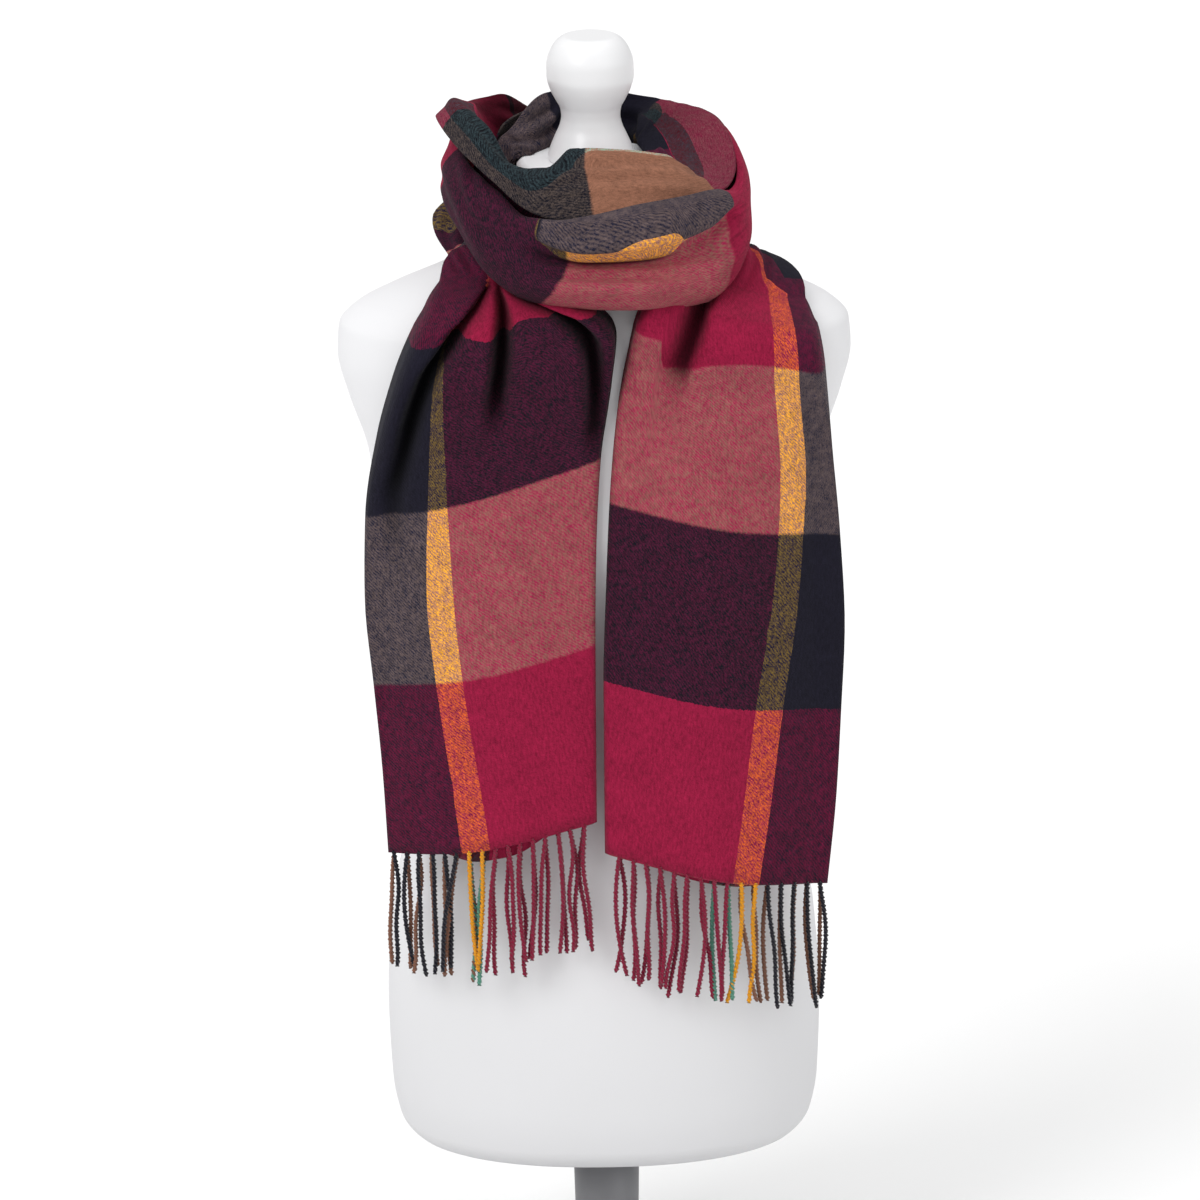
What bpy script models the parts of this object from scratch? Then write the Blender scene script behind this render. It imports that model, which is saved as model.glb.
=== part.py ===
"""A blanket scarf, folded double along its length and wound once round the neck of a dress form.

Metres, +Z up, the wearer's front towards -Y, origin at the centre of the base's underside.
The cloth is one rectangle. RUN is the distance along it from its left end, and ACROSS goes from 0 at the
outer layer's selvedge, through 0.5 at the lengthwise fold, to 1 at the inner layer's selvedge.
"""

from collections import namedtuple
from math import pi

import bmesh
import bpy
import numpy as np

MM = 0.001

# Driving sizes of the cloth
WALL = 0.0020
LAYER_GAP = 0.0046
FOLD_TURN = 0.040
END_GAP = 0.00028
END_STRIP = 0.002
FRINGE_DROP = 0.093
HEADER_DROP = 0.0030
STRAND_WIDE = 0.0034
STRANDS_AN_END = 32
STRAND_SWAY = 0.0018

# Driving sizes of the dress form
NECK_TOP = 0.890
BODY_BOTTOM = 0.142
BASE_RADIUS, BASE_THICK = 0.150, 0.022
POLE_TOP_RADIUS, POLE_FOOT_RADIUS = 0.0250, 0.0225
SEAT = 0.0003

# The body's level sections: height from the neck's top, half width, depth in front, depth behind, squareness
BodyRow = namedtuple("BodyRow", "height half_width front back square")
BODY = [
    BodyRow(0.000, 0.0500, 0.0500, 0.0500, 2.0),
    BodyRow(-0.004, 0.0540, 0.0540, 0.0540, 2.0),
    BodyRow(-0.024, 0.0545, 0.0550, 0.0545, 2.0),
    BodyRow(-0.044, 0.0575, 0.0580, 0.0565, 2.0),
    BodyRow(-0.056, 0.0680, 0.0620, 0.0600, 2.0),
    BodyRow(-0.067, 0.0880, 0.0660, 0.0640, 2.0),
    BodyRow(-0.080, 0.1130, 0.0710, 0.0690, 2.0),
    BodyRow(-0.094, 0.1480, 0.0770, 0.0740, 2.0),
    BodyRow(-0.107, 0.1730, 0.0830, 0.0790, 2.05),
    BodyRow(-0.120, 0.1845, 0.0890, 0.0840, 2.1),
    BodyRow(-0.140, 0.1860, 0.0960, 0.0900, 2.15),
    BodyRow(-0.170, 0.1790, 0.1040, 0.0960, 2.2),
    BodyRow(-0.210, 0.1660, 0.1110, 0.1000, 2.2),
    BodyRow(-0.250, 0.1600, 0.1140, 0.1000, 2.2),
    BodyRow(-0.300, 0.1500, 0.1090, 0.0960, 2.2),
    BodyRow(-0.350, 0.1350, 0.1000, 0.0910, 2.2),
    BodyRow(-0.400, 0.1240, 0.0940, 0.0880, 2.2),
    BodyRow(-0.450, 0.1260, 0.0960, 0.0920, 2.2),
    BodyRow(-0.510, 0.1430, 0.1030, 0.1040, 2.2),
    BodyRow(-0.570, 0.1560, 0.1090, 0.1140, 2.2),
    BodyRow(-0.640, 0.1600, 0.1110, 0.1170, 2.2),
    BodyRow(-0.700, 0.1580, 0.1100, 0.1140, 2.2),
    BodyRow(-0.728, 0.1530, 0.1060, 0.1090, 2.2),
    BodyRow(-0.742, 0.1430, 0.0970, 0.0990, 2.2),
    BodyRow(-0.748, 0.1240, 0.0800, 0.0810, 2.2),
]
BODY_SIDES = 36
BUST_SIDE, BUST_HEIGHT, BUST_DEPTH = 0.072, -0.258, 0.017
BUST_WIDE, BUST_TALL = 0.050, 0.062

# The turned neck cap, from its flat top down: radius, height above the body
CAP = [
    (0.0010, 0.0910),
    (0.0175, 0.0910),
    (0.0225, 0.0888),
    (0.0282, 0.0815),
    (0.0313, 0.0715),
    (0.0315, 0.0620),
    (0.0292, 0.0525),
    (0.0250, 0.0440),
    (0.0220, 0.0380),
    (0.0213, 0.0320),
    (0.0224, 0.0260),
    (0.0258, 0.0180),
    (0.0292, 0.0100),
    (0.0312, 0.0030),
    (0.0306, 0.0003),
    (0.0010, 0.0003),
]
CAP_STEPS = 28

# The hanging ends: run, then where the selvedge and the fold hang (side and height from the neck's top)
TailRow = namedtuple("TailRow", "run edge_side edge_height fold_side fold_height")
LEFT_TAIL = [
    TailRow(0.000, -0.158, -0.500, -0.0040, -0.465),
    TailRow(0.067, -0.161, -0.436, -0.0035, -0.396),
    TailRow(0.133, -0.166, -0.371, -0.0030, -0.328),
    TailRow(0.200, -0.172, -0.306, -0.0030, -0.259),
    TailRow(0.266, -0.171, -0.242, -0.0030, -0.190),
    TailRow(0.333, -0.158, -0.180, 0.0040, -0.138),
    TailRow(0.380, -0.143, -0.135, 0.0080, -0.106),
    TailRow(0.415, -0.130, -0.104, 0.0000, -0.086),
]
RIGHT_TAIL = [
    TailRow(2.128, 0.164, -0.528, 0.0030, -0.487),
    TailRow(2.062, 0.171, -0.462, 0.0034, -0.421),
    TailRow(1.995, 0.175, -0.396, 0.0038, -0.355),
    TailRow(1.930, 0.178, -0.330, 0.0042, -0.288),
    TailRow(1.862, 0.175, -0.263, 0.0050, -0.222),
    TailRow(1.795, 0.170, -0.201, 0.0100, -0.161),
    TailRow(1.729, 0.165, -0.140, 0.0220, -0.103),
    TailRow(1.700, 0.161, -0.112, 0.0290, -0.084),
]
HANG_CLEAR = 0.0075
LAY_CLEAR = 0.0034
EDGE_WRAP = 0.84

# Lengthwise pleats of the hanging ends: place from selvedge to fold, half width, depth, and where they die out
Pleat = namedtuple("Pleat", "place half_width depth dies_at")
LEFT_PLEATS = [
    Pleat(0.08, 0.070, 0.014, -0.220),
    Pleat(0.32, 0.090, 0.024, -0.215),
    Pleat(0.65, 0.110, 0.028, -0.225),
    Pleat(0.97, 0.060, 0.016, -0.190),
]
RIGHT_PLEATS = [
    Pleat(0.12, 0.090, 0.010, -0.200),
    Pleat(0.45, 0.150, 0.014, -0.200),
    Pleat(0.90, 0.060, 0.018, -0.170),
]
# They are fullest at one height, and ease by that share up to the shoulder's
PLEAT_TOP, PLEAT_FULL, PLEAT_EASES = -0.060, -0.115, 0.65

# Each hanging end with its rows and pleats, and the runs between which it turns from hanging to lying
Tail = namedtuple("Tail", "rows pleats hangs lies")
TAILS = {
    "tail_left": Tail(LEFT_TAIL, LEFT_PLEATS, 0.395, 0.475),
    "tail_right": Tail(RIGHT_TAIL, RIGHT_PLEATS, 1.725, 1.645),
}

# Bands round the neck and over the shoulders, a row for each section across the cloth: run, bearing of the
# fold in degrees from the front towards the right, then the fold and the selvedges of the outer and the inner
# layer as (radius, height) in mm. LEAD is how many degrees further on the selvedges are, and RIM is the crease
# that the inner layer falls over. A height of LIES lays that line on the body.
BandRow = namedtuple("BandRow", "run bearing fold outer inner lead rim", defaults=[0, None])
LIES = -400
STRAP_LEFT = [
    BandRow(0.470, -34, (78, LIES), (117, LIES), (116, LIES), -36),
    BandRow(0.515, -56, (67, LIES), (107, LIES), (106, LIES), -24),
    BandRow(0.555, -74, (63, -53), (102, LIES), (93, -40), -12),
    BandRow(0.600, -92, (63, -52), (88, -44), (70, 16), -5),
    BandRow(0.635, -108, (64, -52), (80, -12), (54, 19), -2, (67, 20)),
]
BACK_INNER = [
    BandRow(0.670, -124, (66, -52), (74, 15), (42, 20), 0, (65, 25)),
    BandRow(0.705, -148, (68, -56), (78, 20), (52, 27), 0, (69, 33)),
    BandRow(0.745, 178, (71, -59), (81, 25), (71, 31)),
    BandRow(0.775, 160, (74, -55), (84, 25), (75, 30)),
]
BACK_OUTER = [
    BandRow(1.370, -155, (105, -76), (107, 2), (97, 14)),
    BandRow(1.425, 180, (112, -92), (113, -14), (104, -4)),
    BandRow(1.463, 164, (111, -91), (121, -32), (111, -22)),
]
STRAP_RIGHT = [
    BandRow(1.505, 142, (96, -76), (116, -60), (108, -50), 4),
    BandRow(1.555, 112, (73, LIES), (113, LIES), (107, LIES), 8),
    BandRow(1.605, 80, (68, LIES), (138, LIES), (134, LIES), 18),
    BandRow(1.650, 46, (76, LIES), (153, LIES), (151, LIES), 30),
]
BAND_BOW = 0.006
RIM_SHARE = 0.62
# The runs between which the cloth stands up round the neck, and lies down again
STANDS_UP, LIES_DOWN = (0.560, 0.600), (1.475, 1.510)
# and those between which it leaves the shoulder's surface, and meets it again
LEAVES, MEETS = (0.505, 0.550), (1.535, 1.580)

# The front loop, the same way, with its folds named from the outer layer's selvedge round to the inner one's:
# the rolled lip, the brow that overhangs the crease, the belly, the keel at the bottom, the riser behind,
# the crest at the top and the flop that falls outwards from it.
LoopRow = namedtuple("LoopRow", "run bearing lip roll brow crease belly keel riser crest flop edge")
LOOP = [
    LoopRow(0.800, 140, (88, 10), (91, 8), (93, 2), (94, -6), (94, -24),
            (82, -46), (66, -8), (52, 11), (66, 21), (82, 26)),
    LoopRow(0.850, 115, (101, 4), (104, 2), (106, -4), (107, -12), (107, -32),
            (91, -50), (68, -16), (50, 8), (72, 16), (96, 19)),
    LoopRow(0.888, 90, (105, -3), (109, -7), (112, -15), (113, -24), (112, -40),
            (98, -54), (76, -36), (64, 0), (84, 2), (101, 4)),
    LoopRow(0.926, 64, (111, -9), (115, -12), (118, -19), (118, -28), (121, -50),
            (107, -69), (82, -42), (80, 2), (94, -2), (107, -7)),
    LoopRow(0.950, 46, (109, -6), (115, -9), (120, -24), (114, -33), (125, -56),
            (109, -78), (78, -42), (69, 12), (88, 0), (101, -14)),
    LoopRow(1.000, 20, (105, -8), (113, -9), (120, -26), (113, -42), (126, -60),
            (105, -80), (75, -42), (57, 20), (80, 3), (99, -19)),
    LoopRow(1.040, -4, (105, -12), (112, -13), (119, -29), (112, -41), (126, -60),
            (104, -80), (74, -42), (56, 22), (78, 5), (97, -19)),
    LoopRow(1.062, -15, (104, -14), (110, -14), (117, -25), (114, -37), (125, -56),
            (103, -78), (74, -41), (61, 18), (80, 4), (94, -8)),
    LoopRow(1.085, -27, (101, -14), (106, -13), (113, -18), (117, -28), (122, -48),
            (101, -75), (76, -39), (72, 9), (90, 4), (107, -6)),
    LoopRow(1.115, -42, (102, -1), (106, 0), (111, -5), (116, -15), (121, -38),
            (100, -66), (80, -32), (84, 7), (100, 13), (112, 4)),
    LoopRow(1.155, -63, (101, 7), (104, 9), (109, 7), (114, 0), (116, -18),
            (102, -42), (86, -10), (88, 33), (101, 38), (112, 22)),
    LoopRow(1.200, -86, (95, 12), (98, 15), (103, 13), (108, 5), (111, -11),
            (101, -33), (85, -2), (88, 41), (103, 46), (115, 35)),
    LoopRow(1.250, -108, (97, 14), (100, 15), (104, 12), (107, 4), (110, -16),
            (101, -44), (87, -10), (88, 28), (92, 37), (98, 35)),
    LoopRow(1.310, -132, (101, 12), (104, 9), (107, 3), (110, -6), (112, -30),
            (103, -62), (91, -24), (88, 8), (89, 22), (90, 33)),
]
# Where those folds lie across the cloth
LOOP_ACROSS = np.array([0, 0.07, 0.145, 0.20, 0.33, 0.50, 0.62, 0.75, 0.88, 1.0])

# How finely each stretch is cut: sections along it, points across one layer
Stretch = namedtuple("Stretch", "start end sections across")
STRETCHES = {
    "tail_left": Stretch(0.000, 0.665, 28, 13),
    "back_inner": Stretch(0.665, 0.800, 8, 11),
    "loop_front": Stretch(0.800, 1.310, 28, 13),
    "back_outer": Stretch(1.310, 1.463, 8, 11),
    "tail_right": Stretch(1.463, 2.128, 28, 13),
}

COLOURS = {
    "tail_left": (0.23, 0.015, 0.055),
    "back_inner": (0.03, 0.03, 0.05),
    "loop_front": (0.30, 0.09, 0.10),
    "back_outer": (0.20, 0.03, 0.05),
    "tail_right": (0.25, 0.016, 0.058),
    "fringe_left": (0.05, 0.02, 0.04),
    "fringe_right": (0.10, 0.02, 0.04),
    "torso": (0.80, 0.79, 0.78),
    "neck_cap": (0.86, 0.86, 0.86),
    "stand_pole": (0.42, 0.42, 0.43),
    "stand_base": (0.42, 0.42, 0.43),
}
HARD_ROUGHNESS, CLOTH_ROUGHNESS = 0.45, 0.92


# ---- curves through rows


def through(stops, values, wanted):
    """A smooth curve through values at rising stops, with no overshoot at its peaks (monotone cubic)."""
    stops, values = np.asarray(stops, float), np.asarray(values, float)
    flat = values.reshape(len(stops), -1)
    step = np.diff(stops)[:, None]
    slope = np.diff(flat, axis=0) / step
    tangent = np.empty_like(flat)
    tangent[0], tangent[-1] = slope[0], slope[-1]
    before, after = slope[:-1], slope[1:]
    same = before * after > 0
    weight = np.where(same, before + after, 1.0)
    tangent[1:-1] = np.where(same, 2.0 * before * after / np.where(weight == 0, 1.0, weight), 0.0)
    wanted = np.clip(np.asarray(wanted, float), stops[0], stops[-1])
    at = np.clip(np.searchsorted(stops, wanted, side="right") - 1, 0, len(stops) - 2)
    h = step[at]
    s = (wanted[:, None] - stops[at][:, None]) / h
    low, high = flat[at], flat[at + 1]
    curve = (
        low * (2 * s**3 - 3 * s**2 + 1)
        + high * (3 * s**2 - 2 * s**3)
        + h * tangent[at] * (s**3 - 2 * s**2 + s)
        + h * tangent[at + 1] * (s**3 - s**2)
    )
    return curve.reshape(wanted.shape + values.shape[1:])


def ease(x, start, end):
    s = np.clip((x - start) / (end - start), 0.0, 1.0)
    return s * s * (3 - 2 * s)


# ---- the dress form's surface


def body_section(height):
    """Half width, depth in front, depth behind and squareness of the body at heights from the neck's top."""
    rows = BODY[::-1]
    values = [[row.half_width, row.front, row.back, row.square] for row in rows]
    return through([row.height for row in rows], values, height)


def bust(side, height):
    """How far the bust stands out in front of the plain section."""
    tall = np.exp(-(((height - BUST_HEIGHT) / BUST_TALL) ** 2))
    wide = np.exp(-(((np.abs(side) - BUST_SIDE) / BUST_WIDE) ** 2))
    return BUST_DEPTH * tall * wide


def front_of_body(side, height):
    """How far in front of the centre the body's surface lies."""
    section = body_section(np.ravel(height)).reshape(np.shape(height) + (4,))
    share = np.clip(np.abs(side) / section[..., 0], 0.0, 0.995)
    square = section[..., 3]
    return section[..., 1] * (1 - share**square) ** (1 / square) + bust(side, height)


def top_of_body(side, depth):
    """The height of the neck's and the shoulders' upper surface over a point in plan."""
    levels = np.linspace(-0.150, -0.001, 76)
    section = body_section(levels)
    deep = np.where(depth[..., None] < 0, section[:, 1], section[:, 2])
    inside = (side[..., None] / section[:, 0]) ** 2 + (depth[..., None] / deep) ** 2 < 1
    return np.where(inside, levels, levels[0]).max(axis=-1)


# ---- the cloth's middle surface


def fold_over(across):
    """1 over the first layer and -1 over the second, turning from one to the other round the fold."""
    turn = np.clip((0.5 - across) / FOLD_TURN, -1, 1)
    return np.sign(turn) * np.sqrt(1 - (1 - np.abs(turn)) ** 2)


def hanging(rows, pleats, run, across):
    """A hanging end: straight lines from selvedge to fold, let down from the bust, folded double and pleated.

    Each layer hangs plumb below the body's most forward point above it; the pleats are bell-shaped ridges
    that die out downwards. The fold is a half circle between the two layers.
    """
    rows = sorted(rows)
    row = through([r.run for r in rows], [list(r[1:]) for r in rows], run)
    share = 1 - np.abs(2 * across - 1)
    side = row[:, 0, None] + (row[:, 2] - row[:, 0])[:, None] * share
    height = row[:, 1, None] + (row[:, 3] - row[:, 1])[:, None] * share
    drop = np.linspace(0, 0.34, 35)
    above = np.minimum(height[..., None] + drop, -0.090)
    widest = np.broadcast_to((side * EDGE_WRAP)[..., None], above.shape)
    forward = front_of_body(widest, above)
    # A level above the cloth's own top doesn't hold it out
    out = forward.max(axis=-1) + HANG_CLEAR
    ridge = np.zeros_like(side)
    for pleat in pleats:
        fade = ease(height, pleat.dies_at, PLEAT_FULL)
        fade *= 1 - PLEAT_EASES * ease(height, PLEAT_FULL, PLEAT_TOP)
        ridge += pleat.depth * fade * np.exp(-(((share - pleat.place) / pleat.half_width) ** 2))
    out = out + 0.5 * LAYER_GAP * fold_over(across) + ridge * np.where(across < 0.5, 1.0, 0.85)
    return np.stack([side, -out, height], axis=-1)


def resting(pair, bearing):
    """A (radius, height) pair in metres, with a height of LIES replaced by the body's own under it."""
    radius, height = np.array(pair) * MM
    if pair[1] == LIES:
        angle = np.radians(bearing)
        height = top_of_body(radius * np.sin(angle), -radius * np.cos(angle)) + LAY_CLEAR
    return np.array([radius, height])


def band_folds(row):
    """The ten named folds of a plain band: each layer a bowed line from its selvedge to the fold."""
    fold = resting(row.fold, row.bearing)
    outer, inner = (resting(pair, row.bearing + row.lead) for pair in (row.outer, row.inner))
    folds = []
    for across in LOOP_ACROSS:
        share = abs(2 * across - 1)
        outwards = 1.0 if across < 0.5 else -1.0
        edge = outer if across < 0.5 else inner
        point = fold + (edge - fold) * share
        apart = 0.5 * LAYER_GAP * np.sin(min(1.0, share / 0.09) * pi / 2)
        if row.rim and across > 0.5:
            rim = np.array(row.rim) * MM
            past = (share - RIM_SHARE) / (1 - RIM_SHARE)
            point = rim + (edge - rim) * past if past > 0 else fold + (rim - fold) * share / RIM_SHARE
            apart *= past <= 0
        bow = (1.0 if across < 0.5 else -0.5) * BAND_BOW * np.sin(pi * share) * (row.fold[1] != LIES)
        point[0] += outwards * apart + bow
        folds.append(point)
    return np.array(folds)


def wound_rows():
    """Every section from strap to strap, in order: runs, bearings, leads and the ten folds of each."""
    bands = [(row.run, row.bearing, row.lead, band_folds(row)) for row in STRAP_LEFT + BACK_INNER]
    loop = [(row.run, row.bearing, 0, np.array(row[2:]) * MM) for row in LOOP]
    after = [(row.run, row.bearing, row.lead, band_folds(row)) for row in BACK_OUTER + STRAP_RIGHT]
    runs, bearings, leads, folds = zip(*(bands + loop + after))
    return runs, np.unwrap(np.radians(bearings)), np.radians(leads), np.array(folds)


def wound(run, across):
    """The cloth round the neck: smooth curves through its folds along the cloth, then across it.

    Each point lies at a radius and a height in the upright plane of its bearing, and what would sink into the
    neck and shoulders is lifted on to them, the outer layer under the inner one.
    """
    runs, bearings, leads, folds = wound_rows()
    bearing = through(runs, np.stack([bearings, leads], axis=1), run)
    line = through(runs, folds, run)
    section = through(LOOP_ACROSS, line.transpose(1, 0, 2), across).transpose(1, 0, 2)
    angle = bearing[:, :1] + bearing[:, 1:] * np.abs(2 * across - 1)
    radius, height = section[..., 0], section[..., 1]
    points = np.stack([radius * np.sin(angle), -radius * np.cos(angle), height], axis=-1)
    return laid(points, run, across, 1.0)


def clearance(points):
    """How far points are from the body's surface, near enough, and the way out from it."""

    def stretch_of(at):
        section = body_section(np.ravel(at[..., 2])).reshape(at.shape[:-1] + (4,))
        deep = np.where(at[..., 1] < 0, section[..., 1], section[..., 2])
        square = section[..., 3]
        wide = np.abs(at[..., 0] / section[..., 0]) ** square + np.abs(at[..., 1] / deep) ** square
        return wide ** (1 / square) - 1

    here = stretch_of(points)
    step = 0.0005
    slope = np.stack([(stretch_of(points + step * way) - here) / step for way in np.eye(3)], axis=-1)
    steep = np.maximum(np.linalg.norm(slope, axis=-1), 1e-6)
    return here / steep, slope / steep[..., None]


def push_out(points, ride, hug):
    """Points below the neck's top moved along the body's own slope to ride that far off it, or nearer by HUG."""
    for _ in range(4):
        apart, way = clearance(points)
        move = np.where(apart < ride, ride - apart, hug * (ride - apart))
        points = points + np.where(points[..., 2] < -0.001, move, 0)[..., None] * way
    return points


def laid(points, run, across, hug):
    """Lays the cloth on the body where it touches, its two layers one gap apart.

    Where the cloth lies on a shoulder its inner layer is on top, and where it stands round the neck it is the
    nearer to the body. HUG is how fully a run is drawn on to the shoulder.
    """
    lying = (1 - ease(run, *STANDS_UP) + ease(run, *LIES_DOWN))[:, None]
    inner = 0.5 - 0.5 * fold_over(across)
    ride = LAY_CLEAR + LAYER_GAP * (lying * inner + (1 - lying) * (1 - inner))
    return push_out(points, ride, (hug * (1 - ease(run, *LEAVES) + ease(run, *MEETS)))[:, None])


def cloth(name, run, across):
    """The middle surface of one stretch, a grid of points over run and across, in the part's frame.

    A hanging end turns into the wound cloth over its shoulder, where its front layer becomes the inner one.
    """
    if name in TAILS:
        tail = TAILS[name]
        hang = hanging(tail.rows, tail.pleats, run, across)
        over = wound(run, 1 - across)
        part = ease(run, tail.hangs, tail.lies)
        mixed = hang + (over - hang) * part[:, None, None]
        points = np.where(part[:, None, None] > 0, laid(mixed, run, 1 - across, part**2), mixed)
    else:
        points = wound(run, across)
    return points + np.array([0, 0, NECK_TOP])


def across_points(a_layer):
    """Places across the cloth: even over each layer, closer together round the fold."""
    layer = np.linspace(0, 0.46, a_layer)
    return np.concatenate([layer, [0.482, 0.5, 0.518], 1 - layer[::-1]])


# ---- meshes


def put(name, mesh, collection):
    """An object of that mesh, with its own material, in the part's collection."""
    obj = bpy.data.objects.new(name, mesh)
    finish = bpy.data.materials.new(name)
    finish.use_nodes = True
    shader = finish.node_tree.nodes["Principled BSDF"]
    shader.inputs["Base Color"].default_value = (*COLOURS[name], 1.0)
    hard = name.startswith(("torso", "neck", "stand"))
    shader.inputs["Roughness"].default_value = HARD_ROUGHNESS if hard else CLOTH_ROUGHNESS
    mesh.materials.append(finish)
    collection.objects.link(obj)
    return obj


def grid_mesh(name, points):
    """An open sheet of quads through a grid of points."""
    rows, columns = points.shape[:2]
    index = np.arange(rows * columns).reshape(rows, columns)
    quads = np.stack([index[:-1, :-1], index[:-1, 1:], index[1:, 1:], index[1:, :-1]], axis=-1)
    mesh = bpy.data.meshes.new(name)
    mesh.from_pydata(points.reshape(-1, 3).tolist(), [], quads.reshape(-1, 4).tolist())
    mesh.shade_smooth()
    return mesh


def make_stretch(name, collection):
    """One stretch of the cloth: its middle surface given a wall, half to each side."""
    cut = STRETCHES[name]
    run = np.linspace(cut.start + END_GAP, cut.end - END_GAP, cut.sections - 2)
    run = np.sort(np.append(run, [run[0] + END_STRIP, run[-1] - END_STRIP]))
    obj = put(name, grid_mesh(name, cloth(name, run, across_points(cut.across))), collection)
    wall = obj.modifiers.new("wall", "SOLIDIFY")
    wall.thickness = WALL
    wall.offset = 0.0
    wall.use_even_offset = False
    return obj


def strand_seats(width):
    """Where each strand's root starts and ends across the cloth, on both layers of an end of that width."""
    half = 0.5 * STRAND_WIDE / (2 * width)
    layer = (np.arange(STRANDS_AN_END // 2) + 0.5) / STRANDS_AN_END * 0.93
    middles = np.concatenate([layer, 1 - layer[::-1]])
    return np.stack([middles - half, middles + half], axis=1)


def make_fringe(name, tail, end, onward, collection):
    """A narrow header strip that follows the folded end, 0.3 mm past it, with strands drawn down from it."""
    hem = TAILS[tail].rows[0]
    seats = strand_seats(abs(hem.edge_side - hem.fold_side))
    turn = [0.488, 0.5, 0.512]
    across = np.sort(np.concatenate([[0.001], seats.ravel(), turn, [0.999]]))
    edge = cloth(tail, np.array([end]), across)[0]
    inside = cloth(tail, np.array([end - onward * 0.01]), across)[0]
    along = np.gradient(edge, axis=0)
    down = edge - inside
    down /= np.linalg.norm(down, axis=1)[:, None]
    out = np.cross(along, down)
    out /= np.linalg.norm(out, axis=1)[:, None]
    top = edge + down * 2 * END_GAP
    foot = top + down * HEADER_DROP
    half = out * 0.5 * WALL
    work = bmesh.new()
    corners = np.stack([top + half, top - half, foot - half, foot + half], axis=1)
    rings = [[work.verts.new(corner) for corner in ring] for ring in corners]
    roots = []
    for k, (near, far) in enumerate(zip(rings, rings[1:])):
        sides = [work.faces.new((near[i], near[(i + 1) % 4], far[(i + 1) % 4], far[i])) for i in range(4)]
        if np.any(np.isclose(seats[:, 0], across[k])):
            roots.append(sides[2])
    work.faces.new(rings[0][::-1])
    work.faces.new(rings[-1])
    bmesh.ops.recalc_face_normals(work, faces=work.faces)
    for number, root in enumerate(roots):
        draw_strand(work, root, number)
    mesh = bpy.data.meshes.new(name)
    work.to_mesh(mesh)
    work.free()
    return put(name, mesh, collection)


def draw_strand(work, face, number):
    """Draws a root face of the header down into a four-sided strand that sways a little."""
    root = face.calc_center_median()
    sway = STRAND_SWAY * np.sin(2.4 * number + 0.6)
    for share in (0.15, 0.55, 1.0):
        grown = bmesh.ops.extrude_face_region(work, geom=[face])["geom"]
        bmesh.ops.delete(work, geom=[face], context="FACES_ONLY")
        face = next(item for item in grown if isinstance(item, bmesh.types.BMFace))
        goal = root.copy()
        goal.x += sway * share * share
        goal.z -= FRINGE_DROP * share
        move = goal - face.calc_center_median()
        for vert in face.verts:
            vert.co += move


def make_body(collection):
    """The limbless body: rounded sections lofted from the neck's flat top to the flat underside."""
    heights = np.array([row.height for row in BODY])
    section = body_section(heights)
    angle = np.arange(BODY_SIDES) * 2 * pi / BODY_SIDES
    wide, deep = np.sin(angle), -np.cos(angle)
    power = 2 / section[:, 3, None]
    side = section[:, 0, None] * np.sign(wide) * np.abs(wide) ** power
    reach = np.where(deep < 0, section[:, 1, None], section[:, 2, None])
    depth = reach * np.sign(deep) * np.abs(deep) ** power
    level = np.broadcast_to(heights[:, None], side.shape)
    facing = np.clip(-deep, 0, 1) ** 0.5
    depth = depth - bust(side, level) * facing
    points = np.stack([side, depth, level + NECK_TOP], axis=-1)
    work = bmesh.new()
    rings = [[work.verts.new(point) for point in ring] for ring in points]
    for upper, lower in zip(rings, rings[1:]):
        for k in range(BODY_SIDES):
            after = (k + 1) % BODY_SIDES
            work.faces.new((upper[k], lower[k], lower[after], upper[after]))
    work.faces.new(rings[0])
    work.faces.new(rings[-1][::-1])
    bmesh.ops.recalc_face_normals(work, faces=work.faces)
    mesh = bpy.data.meshes.new("torso")
    work.to_mesh(mesh)
    work.free()
    mesh.shade_smooth()
    return put("torso", mesh, collection)


def turned(name, profile, bottom, collection, steps):
    """A turned piece: its profile, top to bottom on the outer side, spun about the upright axis."""
    mesh = bpy.data.meshes.new(name)
    points = [(radius, 0, height) for radius, height in profile]
    points[0] = (0, 0, profile[0][1])
    points[-1] = (0, 0, profile[-1][1])
    mesh.from_pydata(points, [(k, k + 1) for k in range(len(points) - 1)], [])
    obj = put(name, mesh, collection)
    obj.location.z = bottom
    spin = obj.modifiers.new("turned", "SCREW")
    spin.steps = spin.render_steps = steps
    spin.use_merge_vertices = True
    spin.merge_threshold = 0.00001
    spin.use_smooth_shade = True
    return obj


def make_stand(collection):
    top = BODY_BOTTOM - SEAT
    foot = BASE_THICK + SEAT
    pole = [
        (0, top - foot),
        (POLE_TOP_RADIUS, top - foot),
        (POLE_FOOT_RADIUS, 0),
        (0, 0),
    ]
    turned("stand_pole", pole, foot, collection, 28)
    base = [
        (0, BASE_THICK),
        (BASE_RADIUS - 0.010, BASE_THICK),
        (BASE_RADIUS - 0.003, BASE_THICK - 0.003),
        (BASE_RADIUS, BASE_THICK - 0.010),
        (BASE_RADIUS, 0.002),
        (BASE_RADIUS - 0.002, 0),
        (0, 0),
    ]
    turned("stand_base", base, 0, collection, 40)


def main():
    for obj in list(bpy.data.objects):
        bpy.data.objects.remove(obj, do_unlink=True)
    collection = bpy.data.collections.new("blanket_scarf_on_dress_form")
    bpy.context.scene.collection.children.link(collection)
    make_body(collection)
    turned("neck_cap", CAP, NECK_TOP, collection, CAP_STEPS)
    make_stand(collection)
    for name in STRETCHES:
        make_stretch(name, collection)
    make_fringe("fringe_left", "tail_left", STRETCHES["tail_left"].start, -1, collection)
    make_fringe("fringe_right", "tail_right", STRETCHES["tail_right"].end, 1, collection)


main()
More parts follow.
